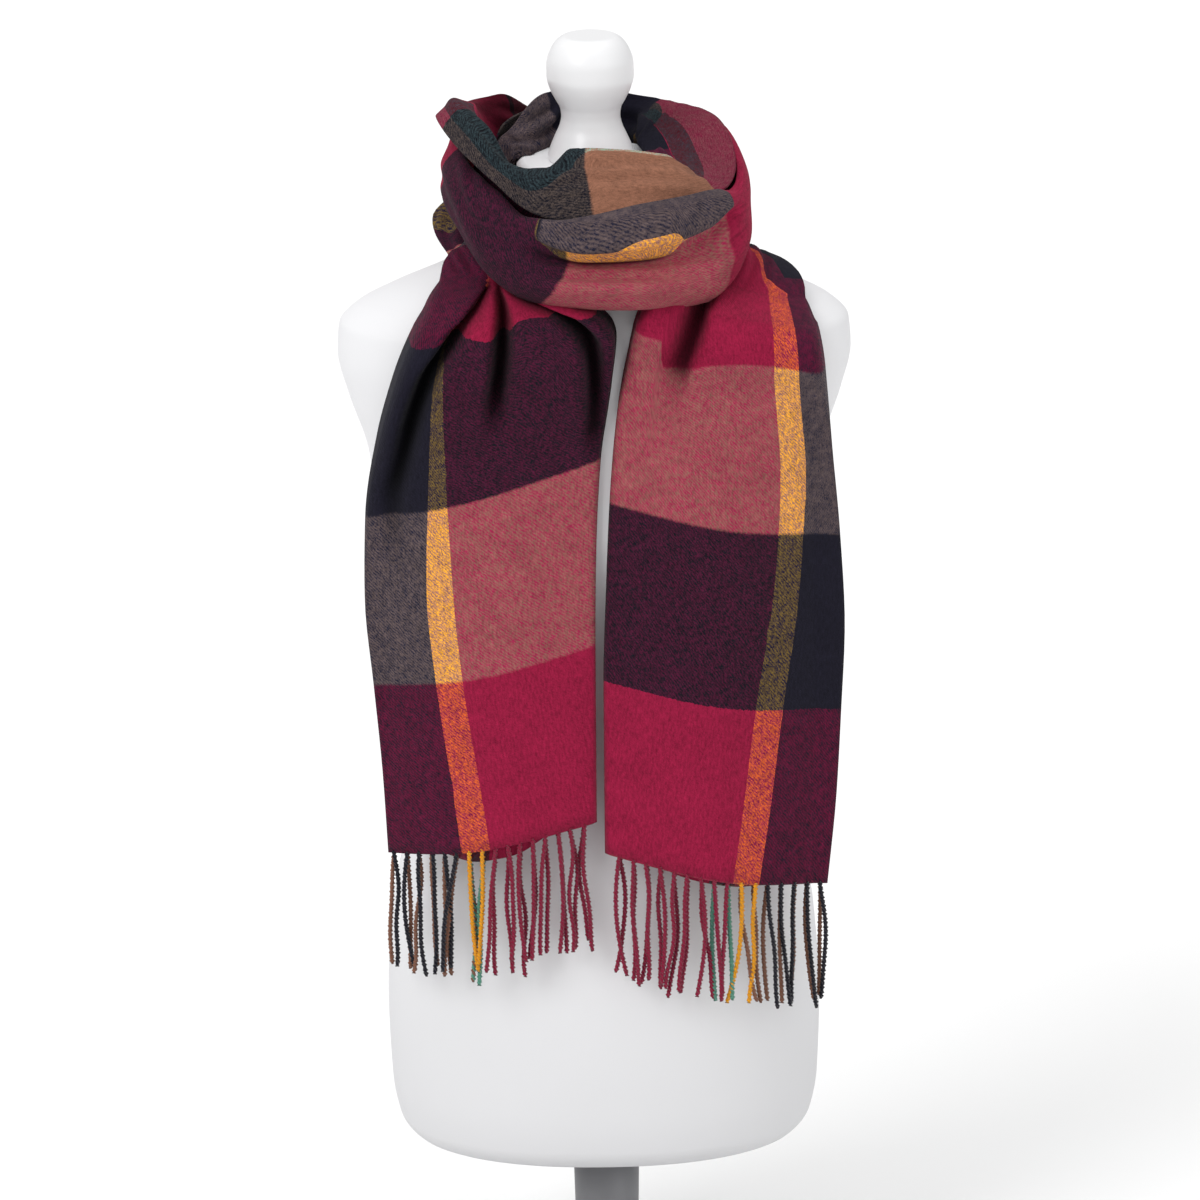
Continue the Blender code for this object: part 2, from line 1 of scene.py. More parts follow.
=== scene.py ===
"""A checked blanket scarf, folded double and wound once round the neck of a dress form, dressed over its
CAD part.

Metres, +Z up, the wearer's front towards -Y, origin at the centre of the base's underside. RUN is the
distance along the cloth from its left end. ROUND goes across the cloth as it is wound: 0 at the outer
layer's selvedge, 0.5 at the lengthwise fold, 1 at the selvedge of the layer next to the neck.
"""

from collections import namedtuple
from math import pi, radians

import bpy
import numpy as np
from bpy.props import FloatProperty, FloatVectorProperty, IntProperty, PointerProperty
from mathutils import Matrix, Vector


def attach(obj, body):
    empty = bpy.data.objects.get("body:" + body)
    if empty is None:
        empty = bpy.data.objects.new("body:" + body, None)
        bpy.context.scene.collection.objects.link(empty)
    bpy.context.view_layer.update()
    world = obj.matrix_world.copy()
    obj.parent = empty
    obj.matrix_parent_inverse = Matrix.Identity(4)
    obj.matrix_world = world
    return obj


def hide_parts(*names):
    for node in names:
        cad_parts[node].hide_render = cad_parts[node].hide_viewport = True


bl_info = {
    "name": "Checked Scarf on a Dress Form",
    "version": (1, 0, 0),
    "blender": (4, 5, 0),
    "location": "View3D > Sidebar > Scarf",
    "description": "Weaves, winds and fringes a blanket scarf and finishes the dress form that it hangs on",
    "category": "Object",
}

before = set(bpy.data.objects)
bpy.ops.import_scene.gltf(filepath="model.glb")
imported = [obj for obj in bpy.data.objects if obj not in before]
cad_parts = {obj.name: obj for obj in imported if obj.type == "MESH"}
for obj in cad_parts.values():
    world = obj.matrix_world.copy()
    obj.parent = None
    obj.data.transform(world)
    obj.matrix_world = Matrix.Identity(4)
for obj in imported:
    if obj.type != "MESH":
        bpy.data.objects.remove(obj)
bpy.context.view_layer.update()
BODY = "root"
MM = 0.001
SENSOR = 36.0

# ---- the sizes that the CAD part has too

LAYER_GAP = 0.0046
FOLD_TURN = 0.040
NECK_TOP = 0.890
BODY_BOTTOM = 0.142
BASE_RADIUS, BASE_THICK = 0.150, 0.022
POLE_TOP_RADIUS, POLE_FOOT_RADIUS = 0.0250, 0.0225
SEAT = 0.0003

# The body's level sections: height from the neck's top, half width, depth in front, depth behind,
# squareness
BodyRow = namedtuple("BodyRow", "height half_width front back square")
BODY_ROWS = [
    BodyRow(0.000, 0.0500, 0.0500, 0.0500, 2.0),
    BodyRow(-0.004, 0.0540, 0.0540, 0.0540, 2.0),
    BodyRow(-0.024, 0.0545, 0.0550, 0.0545, 2.0),
    BodyRow(-0.044, 0.0575, 0.0580, 0.0565, 2.0),
    BodyRow(-0.056, 0.0680, 0.0620, 0.0600, 2.0),
    BodyRow(-0.067, 0.0880, 0.0660, 0.0640, 2.0),
    BodyRow(-0.080, 0.1130, 0.0710, 0.0690, 2.0),
    BodyRow(-0.094, 0.1480, 0.0770, 0.0740, 2.0),
    BodyRow(-0.107, 0.1730, 0.0830, 0.0790, 2.05),
    BodyRow(-0.120, 0.1845, 0.0890, 0.0840, 2.1),
    BodyRow(-0.140, 0.1860, 0.0960, 0.0900, 2.15),
    BodyRow(-0.170, 0.1790, 0.1040, 0.0960, 2.2),
    BodyRow(-0.210, 0.1660, 0.1110, 0.1000, 2.2),
    BodyRow(-0.250, 0.1600, 0.1140, 0.1000, 2.2),
    BodyRow(-0.300, 0.1500, 0.1090, 0.0960, 2.2),
    BodyRow(-0.350, 0.1350, 0.1000, 0.0910, 2.2),
    BodyRow(-0.400, 0.1240, 0.0940, 0.0880, 2.2),
    BodyRow(-0.450, 0.1260, 0.0960, 0.0920, 2.2),
    BodyRow(-0.510, 0.1430, 0.1030, 0.1040, 2.2),
    BodyRow(-0.570, 0.1560, 0.1090, 0.1140, 2.2),
    BodyRow(-0.640, 0.1600, 0.1110, 0.1170, 2.2),
    BodyRow(-0.700, 0.1580, 0.1100, 0.1140, 2.2),
    BodyRow(-0.728, 0.1530, 0.1060, 0.1090, 2.2),
    BodyRow(-0.742, 0.1430, 0.0970, 0.0990, 2.2),
    BodyRow(-0.748, 0.1240, 0.0800, 0.0810, 2.2),
]
BUST_SIDE, BUST_HEIGHT, BUST_DEPTH = 0.072, -0.258, 0.017
BUST_WIDE, BUST_TALL = 0.050, 0.062

# The turned neck cap, from its flat top down: radius, height above the body
CAP = [
    (0.0000, 0.0910),
    (0.0175, 0.0910),
    (0.0225, 0.0888),
    (0.0282, 0.0815),
    (0.0313, 0.0715),
    (0.0315, 0.0620),
    (0.0292, 0.0525),
    (0.0250, 0.0440),
    (0.0220, 0.0380),
    (0.0213, 0.0320),
    (0.0224, 0.0260),
    (0.0258, 0.0180),
    (0.0292, 0.0100),
    (0.0312, 0.0030),
    (0.0306, 0.0003),
    (0.0000, 0.0003),
]

# The hanging ends: run, then where the selvedge and the fold hang (side and height from the neck's top)
TailRow = namedtuple("TailRow", "run edge_side edge_height fold_side fold_height")
LEFT_TAIL = [
    TailRow(0.000, -0.155, -0.497, -0.0040, -0.463),
    TailRow(0.067, -0.158, -0.434, -0.0035, -0.395),
    TailRow(0.133, -0.163, -0.370, -0.0030, -0.328),
    TailRow(0.200, -0.168, -0.306, -0.0015, -0.259),
    TailRow(0.266, -0.166, -0.242, 0.0030, -0.190),
    TailRow(0.333, -0.156, -0.180, 0.0120, -0.138),
    TailRow(0.380, -0.143, -0.135, 0.0160, -0.106),
    TailRow(0.415, -0.130, -0.104, 0.0080, -0.086),
]
RIGHT_TAIL = [
    TailRow(2.128, 0.164, -0.528, 0.0030, -0.487),
    TailRow(2.062, 0.171, -0.462, 0.0034, -0.421),
    TailRow(1.995, 0.175, -0.396, 0.0038, -0.355),
    TailRow(1.930, 0.178, -0.330, 0.0065, -0.288),
    TailRow(1.862, 0.175, -0.263, 0.0100, -0.222),
    TailRow(1.795, 0.170, -0.201, 0.0160, -0.161),
    TailRow(1.729, 0.165, -0.140, 0.0275, -0.103),
    TailRow(1.700, 0.163, -0.112, 0.0330, -0.084),
]
HANG_CLEAR = 0.0075
LAY_CLEAR = 0.0034
EDGE_WRAP = 0.84

# The folds of the hanging ends. The cloth stands off by LIFT (run, metres), and narrow valleys run down
# through it: the runs and the places from selvedge to fold that each goes through, how wide it is towards
# the selvedge and towards the fold, and the runs between which it deepens from nothing.
Valley = namedtuple("Valley", "runs places near far fades")
LEFT_LIFT = [
    (0.200, 0.000), (0.260, 0.004), (0.300, 0.010), (0.335, 0.021),
    (0.375, 0.033), (0.415, 0.035), (0.450, 0.020), (0.487, 0.0),
]
LEFT_VALLEYS = [
    Valley((0.250, 0.280, 0.312, 0.352, 0.380, 0.400, 0.420, 0.450, 0.480),
           (0.12, 0.115, 0.128, 0.135, 0.150, 0.200, 0.280, 0.430, 0.58), 0.050, 0.050, (0.220, 0.260)),
    Valley((0.325, 0.361, 0.400, 0.420, 0.440, 0.480),
           (0.51, 0.485, 0.475, 0.50, 0.55, 0.66), 0.045, 0.050, (0.305, 0.370)),
    Valley((0.250, 0.288, 0.325, 0.378, 0.418, 0.450),
           (0.985, 0.955, 0.930, 0.885, 0.815, 0.74), 0.040, 0.052, (0.255, 0.300)),
]
RIGHT_LIFT = [
    (1.650, 0.0), (1.675, 0.012), (1.700, 0.026), (1.722, 0.024),
    (1.742, 0.012), (1.765, 0.003), (1.790, 0.0),
]
RIGHT_VALLEYS = [
    Valley((1.660, 1.695, 1.710, 1.730, 1.750, 1.790),
           (0.62, 0.655, 0.665, 0.690, 0.720, 0.740), 0.034, 0.110, (1.800, 1.740)),
]
ROLL_WIDTH = 0.060
HOLLOW_LIFT = 0.009
# Cloth that lies deep inside the loop: the runs and the places round between which its shade comes in, and
# how deep
Shaded = namedtuple("Shaded", "begins ends across deep")
SHADED = [
    Shaded((1.195, 1.225), (1.40, 1.44), (0.70, 0.80), 0.70),
    Shaded((0.800, 0.830), (0.925, 0.931), (0.70, 0.95), 0.18),
]
CREASE = Valley((0.965, 1.000, 1.050, 1.085), (0.200, 0.203, 0.206, 0.200), 0.010, 0.010, (0.965, 1.000))

# Each hanging end with its rows and folds, the runs between which it turns from hanging to lying, and how
# far its layer behind has slipped down at the hem: at SLIP_AT from selvedge to fold, over SLIP_WIDE, fading
# over SLIP_LONG
Tail = namedtuple("Tail", "rows lift valleys hangs lies slip")
TAILS = {
    "left": Tail(LEFT_TAIL, LEFT_LIFT, LEFT_VALLEYS, 0.395, 0.475, 0.0095),
    "right": Tail(RIGHT_TAIL, RIGHT_LIFT, RIGHT_VALLEYS, 1.725, 1.645, 0.0040),
}
SLIP_AT, SLIP_WIDE, SLIP_LONG = 0.52, 0.20, 0.12
# The runs at which the hanging ends' own stretches stop and start
LEFT_STOPS, RIGHT_STARTS = 0.665, 1.463
# A layer hangs plumb from the body's most forward point within SEARCH_UP above it, below the shoulder
SEARCH_UP, SEARCH_STEPS, SHOULDER = 0.34, 35, -0.090
# The layer behind takes this share of the folds, and creases are shaded this much narrower than they are
# cut
REAR_FOLDS, SHADE_NARROW = 0.70, 0.85
# Passes that settle the cloth on the body, the height above which it isn't moved, and the step that finds a
# slope
SETTLE_PASSES, SETTLE_BELOW, SLOPE_STEP = 4, -0.001, 0.0005

# Bands round the neck and over the shoulders: run, bearing of the fold in degrees from the front to the
# right, then the fold and the two selvedges as (radius, height) in mm. LEAD turns the selvedges further on,
# RIM is the crease that the inner layer falls over, and a height of LIES lays that line on the body.
BandRow = namedtuple("BandRow", "run bearing fold outer inner lead rim", defaults=[0, None])
LIES = -400
BEFORE_LOOP = [
    BandRow(0.470, -34, (78, LIES), (115, LIES), (116, LIES), -36),
    BandRow(0.515, -56, (67, LIES), (104, LIES), (105, LIES), -24),
    BandRow(0.555, -74, (63, -53), (101, LIES), (92, -40), -12),
    BandRow(0.600, -92, (63, -52), (117, -49), (68, 11), -13, (47, 1)),
    BandRow(0.635, -108, (62, -52), (80, -14), (62, 17), -2, (45, 2)),
    BandRow(0.670, -124, (62, -52), (74, 15), (57, 29), 0, (45, 4)),
    BandRow(0.705, -148, (64, -56), (78, 20), (60, 36), 0, (50, 8)),
    BandRow(0.745, 178, (69, -59), (81, 25), (69, 36)),
    BandRow(0.775, 160, (73, -55), (84, 24), (74, 31)),
]
AFTER_LOOP = [
    BandRow(1.370, -155, (105, -76), (107, 2), (97, 14)),
    BandRow(1.425, 180, (112, -92), (113, -14), (104, -4)),
    BandRow(1.463, 164, (111, -91), (121, -32), (111, -22)),
    BandRow(1.505, 142, (96, -76), (116, -60), (108, -50), 4),
    BandRow(1.555, 112, (73, LIES), (113, LIES), (107, LIES), 8),
    BandRow(1.605, 80, (68, LIES), (138, LIES), (135, LIES), 18),
    BandRow(1.650, 46, (76, LIES), (153, LIES), (155, LIES), 30),
]
BAND_BOW = 0.006
RIM_SHARE = 0.62
STANDS_UP, LIES_DOWN = (0.560, 0.600), (1.475, 1.510)
LEAVES, MEETS = (0.505, 0.550), (1.535, 1.580)

# The front loop: its folds from the outer layer's selvedge round to the inner one's, as (radius, height) in
# mm
LoopRow = namedtuple("LoopRow", "run bearing lip roll brow crease belly keel riser crest flop edge")
LOOP = [
    LoopRow(0.800, 140, (88, 10), (91, 8), (93, 2), (94, -6), (94, -24),
            (82, -46), (66, -8), (52, 11), (66, 21), (82, 26)),
    LoopRow(0.850, 115, (98, 17), (102, 13), (105, 2), (107, -11), (107, -32),
            (91, -50), (66, -18), (38, 6), (68, 15), (98, 20)),
    LoopRow(0.888, 90, (103, 2), (108, -2), (112, -12), (113, -24), (112, -40),
            (98, -54), (68, -34), (39, 2), (72, 2), (103, 5)),
    LoopRow(0.926, 64, (109, -13), (114, -14), (117, -18), (117, -24), (122, -54),
            (108, -73), (70, -40), (56, 0), (86, -3), (108, -10)),
    LoopRow(0.938, 55, (109, -8), (114, -10), (119, -20), (112, -29), (124, -59),
            (110, -81), (74, -41), (76, 7), (93, -2), (104, -13)),
    LoopRow(0.950, 46, (109, -6), (114, -9), (120, -25), (110, -39), (126, -63),
            (112, -86), (78, -42), (73, 14), (91, 0), (101, -14)),
    LoopRow(1.000, 20, (105, -8), (113, -11), (120, -32), (107, -48), (127, -65),
            (107, -84), (75, -42), (57, 20), (80, 3), (99, -19)),
    LoopRow(1.036, -2, (105, -15), (112, -17), (119, -35), (106, -48), (126, -63),
            (105, -82), (74, -42), (56, 22), (78, 5), (97, -20)),
    LoopRow(1.062, -15, (104, -19), (110, -18), (117, -30), (108, -43), (125, -60),
            (104, -81), (74, -41), (57, 21), (79, 5), (98, -20)),
    LoopRow(1.085, -27, (101, -19), (106, -18), (112, -23), (116, -32), (122, -52),
            (102, -79), (76, -39), (70, 9), (87, 5), (104, -12)),
    LoopRow(1.115, -42, (100, -4), (104, -3), (109, -7), (114, -15), (120, -40),
            (101, -69), (80, -32), (80, 9), (94, 14), (106, 6)),
    LoopRow(1.155, -63, (97, 7), (100, 9), (105, 7), (110, 0), (113, -18),
            (101, -42), (84, -10), (84, 33), (96, 38), (107, 22)),
    LoopRow(1.200, -86, (92, 12), (95, 15), (100, 13), (105, 5), (108, -11),
            (99, -33), (83, -2), (84, 41), (99, 45), (111, 34)),
    LoopRow(1.250, -108, (95, 14), (98, 15), (102, 12), (105, 4), (108, -16),
            (100, -44), (85, -10), (86, 28), (90, 36), (96, 34)),
    LoopRow(1.310, -132, (101, 12), (104, 9), (107, 3), (110, -6), (112, -30),
            (103, -62), (91, -24), (88, 8), (89, 22), (90, 33)),
]
LOOP_ROUND = np.array([0, 0.07, 0.145, 0.20, 0.33, 0.50, 0.62, 0.75, 0.88, 1.0])

# Wrinkles along the gathered cloth: between which runs they rise and fall away, height, distance apart, how
# many radians they wander, and a seed
Wrinkle = namedtuple("Wrinkle", "begins ends height apart wander seed")
WRINKLES = [
    Wrinkle((0.450, 0.530), (0.800, 0.870), 0.0019, 0.0145, 2.0, 4),
    Wrinkle((1.280, 1.340), (1.600, 1.680), 0.0019, 0.0145, 2.0, 9),
    Wrinkle((0.880, 0.960), (1.290, 1.350), 0.0010, 0.0210, 2.4, 14),
]

# Each strand: rings down it, points round a ring, how far its root reaches into the hem, and how far apart
# on the cut its two plies take their colours
STRAND_STEPS, STRAND_SIDES, ROOT_RISE, PLY_SPLIT = 44, 12, 0.0015, 0.0027

# ---- how the woven pattern lies on the draped cloth

# Across a hanging end: how far along from selvedge to fold the yellow stripe starts and stops, and the cut
# at the fold in mm
StripeRow = namedtuple("StripeRow", "run starts stops fold_at")
LEFT_STRIPE = [
    StripeRow(0.000, 0.354, 0.491, 151),
    StripeRow(0.133, 0.284, 0.404, 172),
    StripeRow(0.200, 0.270, 0.385, 180),
    StripeRow(0.266, 0.268, 0.350, 184),
    StripeRow(0.333, 0.228, 0.282, 193),
    StripeRow(0.385, 0.190, 0.214, 198),
    StripeRow(0.402, 0.190, 0.196, 200),
    StripeRow(0.420, 0.2550, 0.2555, 195),
    StripeRow(0.450, 0.4100, 0.4105, 190),
    StripeRow(0.480, 0.5600, 0.5605, 180),
]
RIGHT_STRIPE = [
    StripeRow(1.600, 0.270, 0.290, 187),
    StripeRow(1.630, 0.285, 0.310, 187),
    StripeRow(1.641, 0.270, 0.300, 187),
    StripeRow(1.648, 0.118, 0.250, 185),
    StripeRow(1.700, 0.130, 0.262, 180),
    StripeRow(1.729, 0.136, 0.266, 187),
    StripeRow(1.800, 0.128, 0.248, 190),
    StripeRow(1.862, 0.161, 0.271, 196),
    StripeRow(1.995, 0.249, 0.365, 182),
    StripeRow(2.128, 0.312, 0.429, 167),
]
STRIPE_AT = (0.052, 0.072)

# Round the neck: the cut in mm at each place round the cloth, and how far the weave runs ahead of the run
# there. A new zone starts where the cloth doubles back on itself.
CutRow = namedtuple("CutRow", "run cut lean")
ROUND_PLACES = np.array(
    [0, 0.07, 0.145, 0.165, 0.166, 0.20, 0.33, 0.50, 0.62, 0.75, 0.835, 0.836, 0.88, 1.0]
)
LEVEL = (0,) * 14
PLAIN = (320, 306, 288, 282, 282, 274, 232, 160, 74, 50, 38, 38, 30, 0)
YELLOW_WIDE = (0, 31, 55, 60, 61, 73, 115, 165, 205, 244, 273, 273, 285, 320)
YELLOW_SLIM = (0, 27, 48, 53, 55, 73, 115, 165, 205, 244, 273, 273, 285, 320)
LOBE_FACE = (80, 88, 97, 100, 100, 105, 125, 165, 200, 8, 50, 237, 249, 312)
TUCKED = (74, 79, 87, 90, 90, 98, 122, 165, 205, 236, 243, 243, 246, 268)
ROUND_BACK = (74, 79, 87, 90, 90, 98, 122, 165, 182, 196, 203, 203, 208, 230)
TAB = (66, 64, 62, 60, 60, 60, 100, 160, 74, 50, 38, 38, 30, 0)
TAB_LEAN = (112, 112, 112, 112, 112, 112, 50, 0, 0, 0, 0, 0, 0, 0)
BEHIND = (0, 20, 40, 45, 45, 56, 100, 165, 205, 245, 273, 273, 285, 320)
LOBE_LEAN = (0, 0, 0, 0, 0, 0, 0, 0, -60, -100, -100, -32, -22, 10)
END_LEAN = (-4, -4, -4, -5, -5, -4, -9, -14, -12, -12, -12, -12, -12, -12)
MOUTH_LEAN = (6, 5, 1, -5, -5, -4, -9, -14, 24, 24, 24, 24, 24, 24)
SWAG_LEAN = (-6, -6, -6, -6, 13, 14, 9, -8, 20, 24, 24, 24, 28, 33)
TUCK_LEAN = (-6, -6, -6, -6, 12, 12, 7, -8, 20, 24, 24, 24, 24, 24)
STRAP_LEAN = (-35, -35, -35, -35, -35, -35, -20, 0, 0, 0, 0, 0, 0, 0)
BACK_LEAN = (0, 0, 0, 0, 0, 0, 0, 0, -30, -40, -40, -40, -40, -40)
REAR_LEAN = (0, 0, 0, 0, 0, 0, 0, 0, -20, -25, -25, -25, -25, -25)
CUT_ZONES = [
    [
        CutRow(0.500, PLAIN, LEVEL),
        CutRow(0.5625, PLAIN, STRAP_LEAN),
        CutRow(0.563, TAB, TAB_LEAN),
        CutRow(0.640, TAB, TAB_LEAN),
        CutRow(0.670, PLAIN, BACK_LEAN),
        CutRow(0.700, PLAIN, BACK_LEAN),
        CutRow(0.800, PLAIN, LEVEL),
    ],
    [
        CutRow(0.800, LOBE_FACE, LOBE_LEAN),
        CutRow(0.850, LOBE_FACE, LOBE_LEAN),
        CutRow(0.932, LOBE_FACE, END_LEAN),
    ],
    [
        CutRow(0.932, (0, 20, 42, 51, 73, 80, 114, 165, 205, 244, 273, 273, 285, 320), MOUTH_LEAN),
        CutRow(0.968, (0, 22, 46, 51, 73, 78, 114, 165, 205, 246, 273, 273, 285, 320), MOUTH_LEAN),
        CutRow(0.984, YELLOW_WIDE, MOUTH_LEAN),
        CutRow(1.004, YELLOW_WIDE, SWAG_LEAN),
        CutRow(1.024, YELLOW_SLIM, SWAG_LEAN),
        CutRow(1.045, (0, 16, 34, 40, 56, 74, 116, 165, 205, 240, 259, 259, 268, 304), SWAG_LEAN),
        CutRow(1.0715, (0, 14, 30, 36, 75, 82, 118, 165, 204, 236, 246, 246, 252, 284), TUCK_LEAN),
        CutRow(1.072, (74, 79, 87, 90, 90, 94, 120, 165, 204, 236, 245, 245, 251, 280), TUCK_LEAN),
        CutRow(1.090, TUCKED, TUCK_LEAN),
        CutRow(1.160, TUCKED, (5, 5, 5, 4, 4, 3, -3, -12, 14, 19, 19, 19, 19, 19)),
        CutRow(1.200, TUCKED, (18, 18, 18, 18, 18, 16, 8, -10, 12, 17, 17, 17, 17, 17)),
        CutRow(1.240, ROUND_BACK, (10, 10, 10, 10, 10, 8, 0, -10, 6, 8, 8, 8, 8, 8)),
        CutRow(1.310, ROUND_BACK, REAR_LEAN),
        CutRow(1.370, BEHIND, REAR_LEAN),
        CutRow(1.430, BEHIND, LEVEL),
        CutRow(1.600, BEHIND, LEVEL),
    ],
]
# How far the weave runs ahead on the hanging ends, in mm, at places from selvedge to fold
LeanRow = namedtuple("LeanRow", "run lean")
LEFT_LEAN_PLACES = (0, 0.13, 0.30, 0.44, 0.50, 0.60, 0.70, 0.82, 0.95, 1)
LEFT_LEAN = [
    LeanRow(0.300, (0,) * 10),
    LeanRow(0.400, (-7, -7, -10, -6, -6, -24, -28, -16, -14, -12)),
    LeanRow(0.480, (0,) * 10),
]
RIGHT_LEAN_PLACES = (0, 0.14, 0.18, 0.30, 0.60, 0.72, 0.83, 0.86, 0.95, 1)
RIGHT_LEAN = [
    LeanRow(1.560, (0,) * 10),
    LeanRow(1.600, (-36, -36, 0, 0, 0, 0, 0, 0, 0, 0)),
    LeanRow(1.646, (-42, -42, 0, 0, 0, 0, 0, 0, 0, 0)),
    LeanRow(1.680, (-8, -8, 0, 0, 0, 0, 0, 0, 0, 0)),
    LeanRow(1.735, (5, 5, 5, 4, -8, -20, -22, 5, 5, 5)),
    LeanRow(1.820, (0,) * 10),
]
LEFT_JOINS, RIGHT_JOINS = (0.525, 0.595), (1.535, 1.595)
# The borders between zones of the weave along and round the cloth, and how far inside them a face's corners
# are kept
ZONES, ZONE_MARGIN = (0.0, 0.800, 0.932, 2.2), 1e-5
SIDES, SIDE_MARGIN = (0.0, 0.1655, 0.8355, 1.0), 6e-4

# ---- the settings a user would change


class ScarfSettings(bpy.types.PropertyGroup):
    width: FloatProperty(name="Width", description="Width of the flat cloth", default=0.320, unit="LENGTH")
    length: FloatProperty(
        name="Length", description="Length of the flat cloth, unfringed", default=2.128, unit="LENGTH"
    )
    wall: FloatProperty(
        name="Wall", description="Thickness of the brushed cloth", default=0.0016, unit="LENGTH"
    )
    block: FloatProperty(name="Block", description="Length of each weft block", default=0.133, unit="LENGTH")
    sections: IntProperty(name="Sections", description="Sections cut along the cloth", default=420, min=60)
    across: IntProperty(name="Across", description="Points across the cloth", default=114, min=30)
    twill_pitch: FloatProperty(
        name="Twill pitch", description="Distance between the diagonals", default=0.0019, unit="LENGTH"
    )
    fringe_drop: FloatProperty(
        name="Fringe drop", description="Length of the twisted strands", default=0.0945, unit="LENGTH"
    )
    strand_wide: FloatProperty(
        name="Strand width", description="Width of one twisted strand", default=0.0045, unit="LENGTH"
    )
    strand_twist: FloatProperty(
        name="Strand twist", description="Length of one turn of its two plies", default=0.0068, unit="LENGTH"
    )
    strands: IntProperty(name="Strands", description="Strands on each end", default=32, min=4)


class YarnSettings(bpy.types.PropertyGroup):
    crimson: FloatVectorProperty(
        name="Crimson", description="Crimson yarn", default=(0.262, 0.0095, 0.0420), subtype="COLOR"
    )
    navy: FloatVectorProperty(
        name="Navy", description="Navy yarn", default=(0.0110, 0.0100, 0.0185), subtype="COLOR"
    )
    tan: FloatVectorProperty(
        name="Tan", description="Tan yarn", default=(0.250, 0.112, 0.070), subtype="COLOR"
    )
    yellow: FloatVectorProperty(
        name="Yellow", description="Yellow yarn", default=(0.807, 0.352, 0.0130), subtype="COLOR"
    )
    teal: FloatVectorProperty(
        name="Teal", description="Teal yarn", default=(0.115, 0.325, 0.238), subtype="COLOR"
    )
    contrast: FloatProperty(
        name="Twill contrast", description="How plainly the two yarns show", default=1.5, min=0, max=3
    )


class FormSettings(bpy.types.PropertyGroup):
    cover: FloatVectorProperty(
        name="Cover", description="Stretch cover of the body", default=(0.80, 0.80, 0.815), subtype="COLOR"
    )
    cap: FloatVectorProperty(
        name="Cap", description="Lacquered neck cap", default=(0.83, 0.83, 0.84), subtype="COLOR"
    )
    metal: FloatVectorProperty(
        name="Stand", description="Satin grey pole and base", default=(0.22, 0.22, 0.23), subtype="COLOR"
    )
    sides: IntProperty(name="Sides", description="Points round the body", default=160, min=24)


class StudioSettings(bpy.types.PropertyGroup):
    distance: FloatProperty(name="Distance", description="Camera to the form", default=6.0, unit="LENGTH")
    elevation: FloatProperty(
        name="Elevation", description="Camera's angle above level", default=radians(18), subtype="ANGLE"
    )
    roll: FloatProperty(name="Roll", description="Camera's tilt", default=radians(0.86), subtype="ANGLE")
    view: FloatProperty(
        name="View", description="Width of the view at the form", default=0.864, unit="LENGTH"
    )
    right: FloatProperty(
        name="Right", description="View's centre, right of the neck", default=0.00144, unit="LENGTH"
    )
    below: FloatProperty(
        name="Below", description="View's centre, below the neck", default=0.3182, unit="LENGTH"
    )


# ---- curves through rows


def through(stops, values, wanted):
    """A smooth curve through values at rising stops: a cubic over each step whose slope at a stop is the
    harmonic mean of the slopes beside it, or level at a peak, so that it never overshoots."""
    stops, values = np.asarray(stops, float), np.asarray(values, float)
    flat = values.reshape(len(stops), -1)
    step = np.diff(stops)[:, None]
    slope = np.diff(flat, axis=0) / step
    tangent = np.empty_like(flat)
    tangent[0], tangent[-1] = slope[0], slope[-1]
    before, after = slope[:-1], slope[1:]
    same = before * after > 0
    weight = np.where(same, before + after, 1.0)
    tangent[1:-1] = np.where(same, 2.0 * before * after / weight, 0.0)
    wanted = np.clip(np.asarray(wanted, float), stops[0], stops[-1])
    at = np.clip(np.searchsorted(stops, wanted, side="right") - 1, 0, len(stops) - 2)
    h = step[at]
    s = (wanted[:, None] - stops[at][:, None]) / h
    curve = (
        flat[at] * (2 * s**3 - 3 * s**2 + 1)
        + flat[at + 1] * (3 * s**2 - 2 * s**3)
        + h * tangent[at] * (s**3 - 2 * s**2 + s)
        + h * tangent[at + 1] * (s**3 - s**2)
    )
    return curve.reshape(wanted.shape + values.shape[1:])


def ease(x, start, end):
    """0 before start and 1 after end, with a smooth step between."""
    s = np.clip((x - start) / (end - start), 0.0, 1.0)
    return s * s * (3 - 2 * s)


def ripple(seed, u, v, waves=7):
    """A soft random relief over (u, v): a sum of sine waves of random direction and phase, divided by their
    number's root. U and V are counted in wavelengths."""
    numbers = np.random.default_rng(seed)
    total = 0.0
    for _ in range(waves):
        turn, phase, pace = numbers.uniform(0, 2 * pi, 2).tolist() + [numbers.uniform(0.6, 1.5)]
        total = total + np.sin(2 * pi * pace * (u * np.cos(turn) + v * np.sin(turn)) + phase)
    return total / np.sqrt(waves)


# ---- the dress form's surface


def body_section(height):
    """Half width, depth in front, depth behind and squareness of the body, smooth through its rows."""
    rows = BODY_ROWS[::-1]
    return through([row.height for row in rows], [list(row[1:]) for row in rows], height)


def bust(side, height):
    """How far the bust stands out: a bell over its side and its height, on both sides."""
    tall = np.exp(-(((height - BUST_HEIGHT) / BUST_TALL) ** 2))
    wide = np.exp(-(((np.abs(side) - BUST_SIDE) / BUST_WIDE) ** 2))
    return BUST_DEPTH * tall * wide


def front_of_body(side, height):
    """How far in front of the centre the body's surface lies: a superellipse in plan, and the bust on
    it."""
    section = body_section(np.ravel(height)).reshape(np.shape(height) + (4,))
    share = np.clip(np.abs(side) / section[..., 0], 0.0, 0.995)
    square = section[..., 3]
    return section[..., 1] * (1 - share**square) ** (1 / square) + bust(side, height)


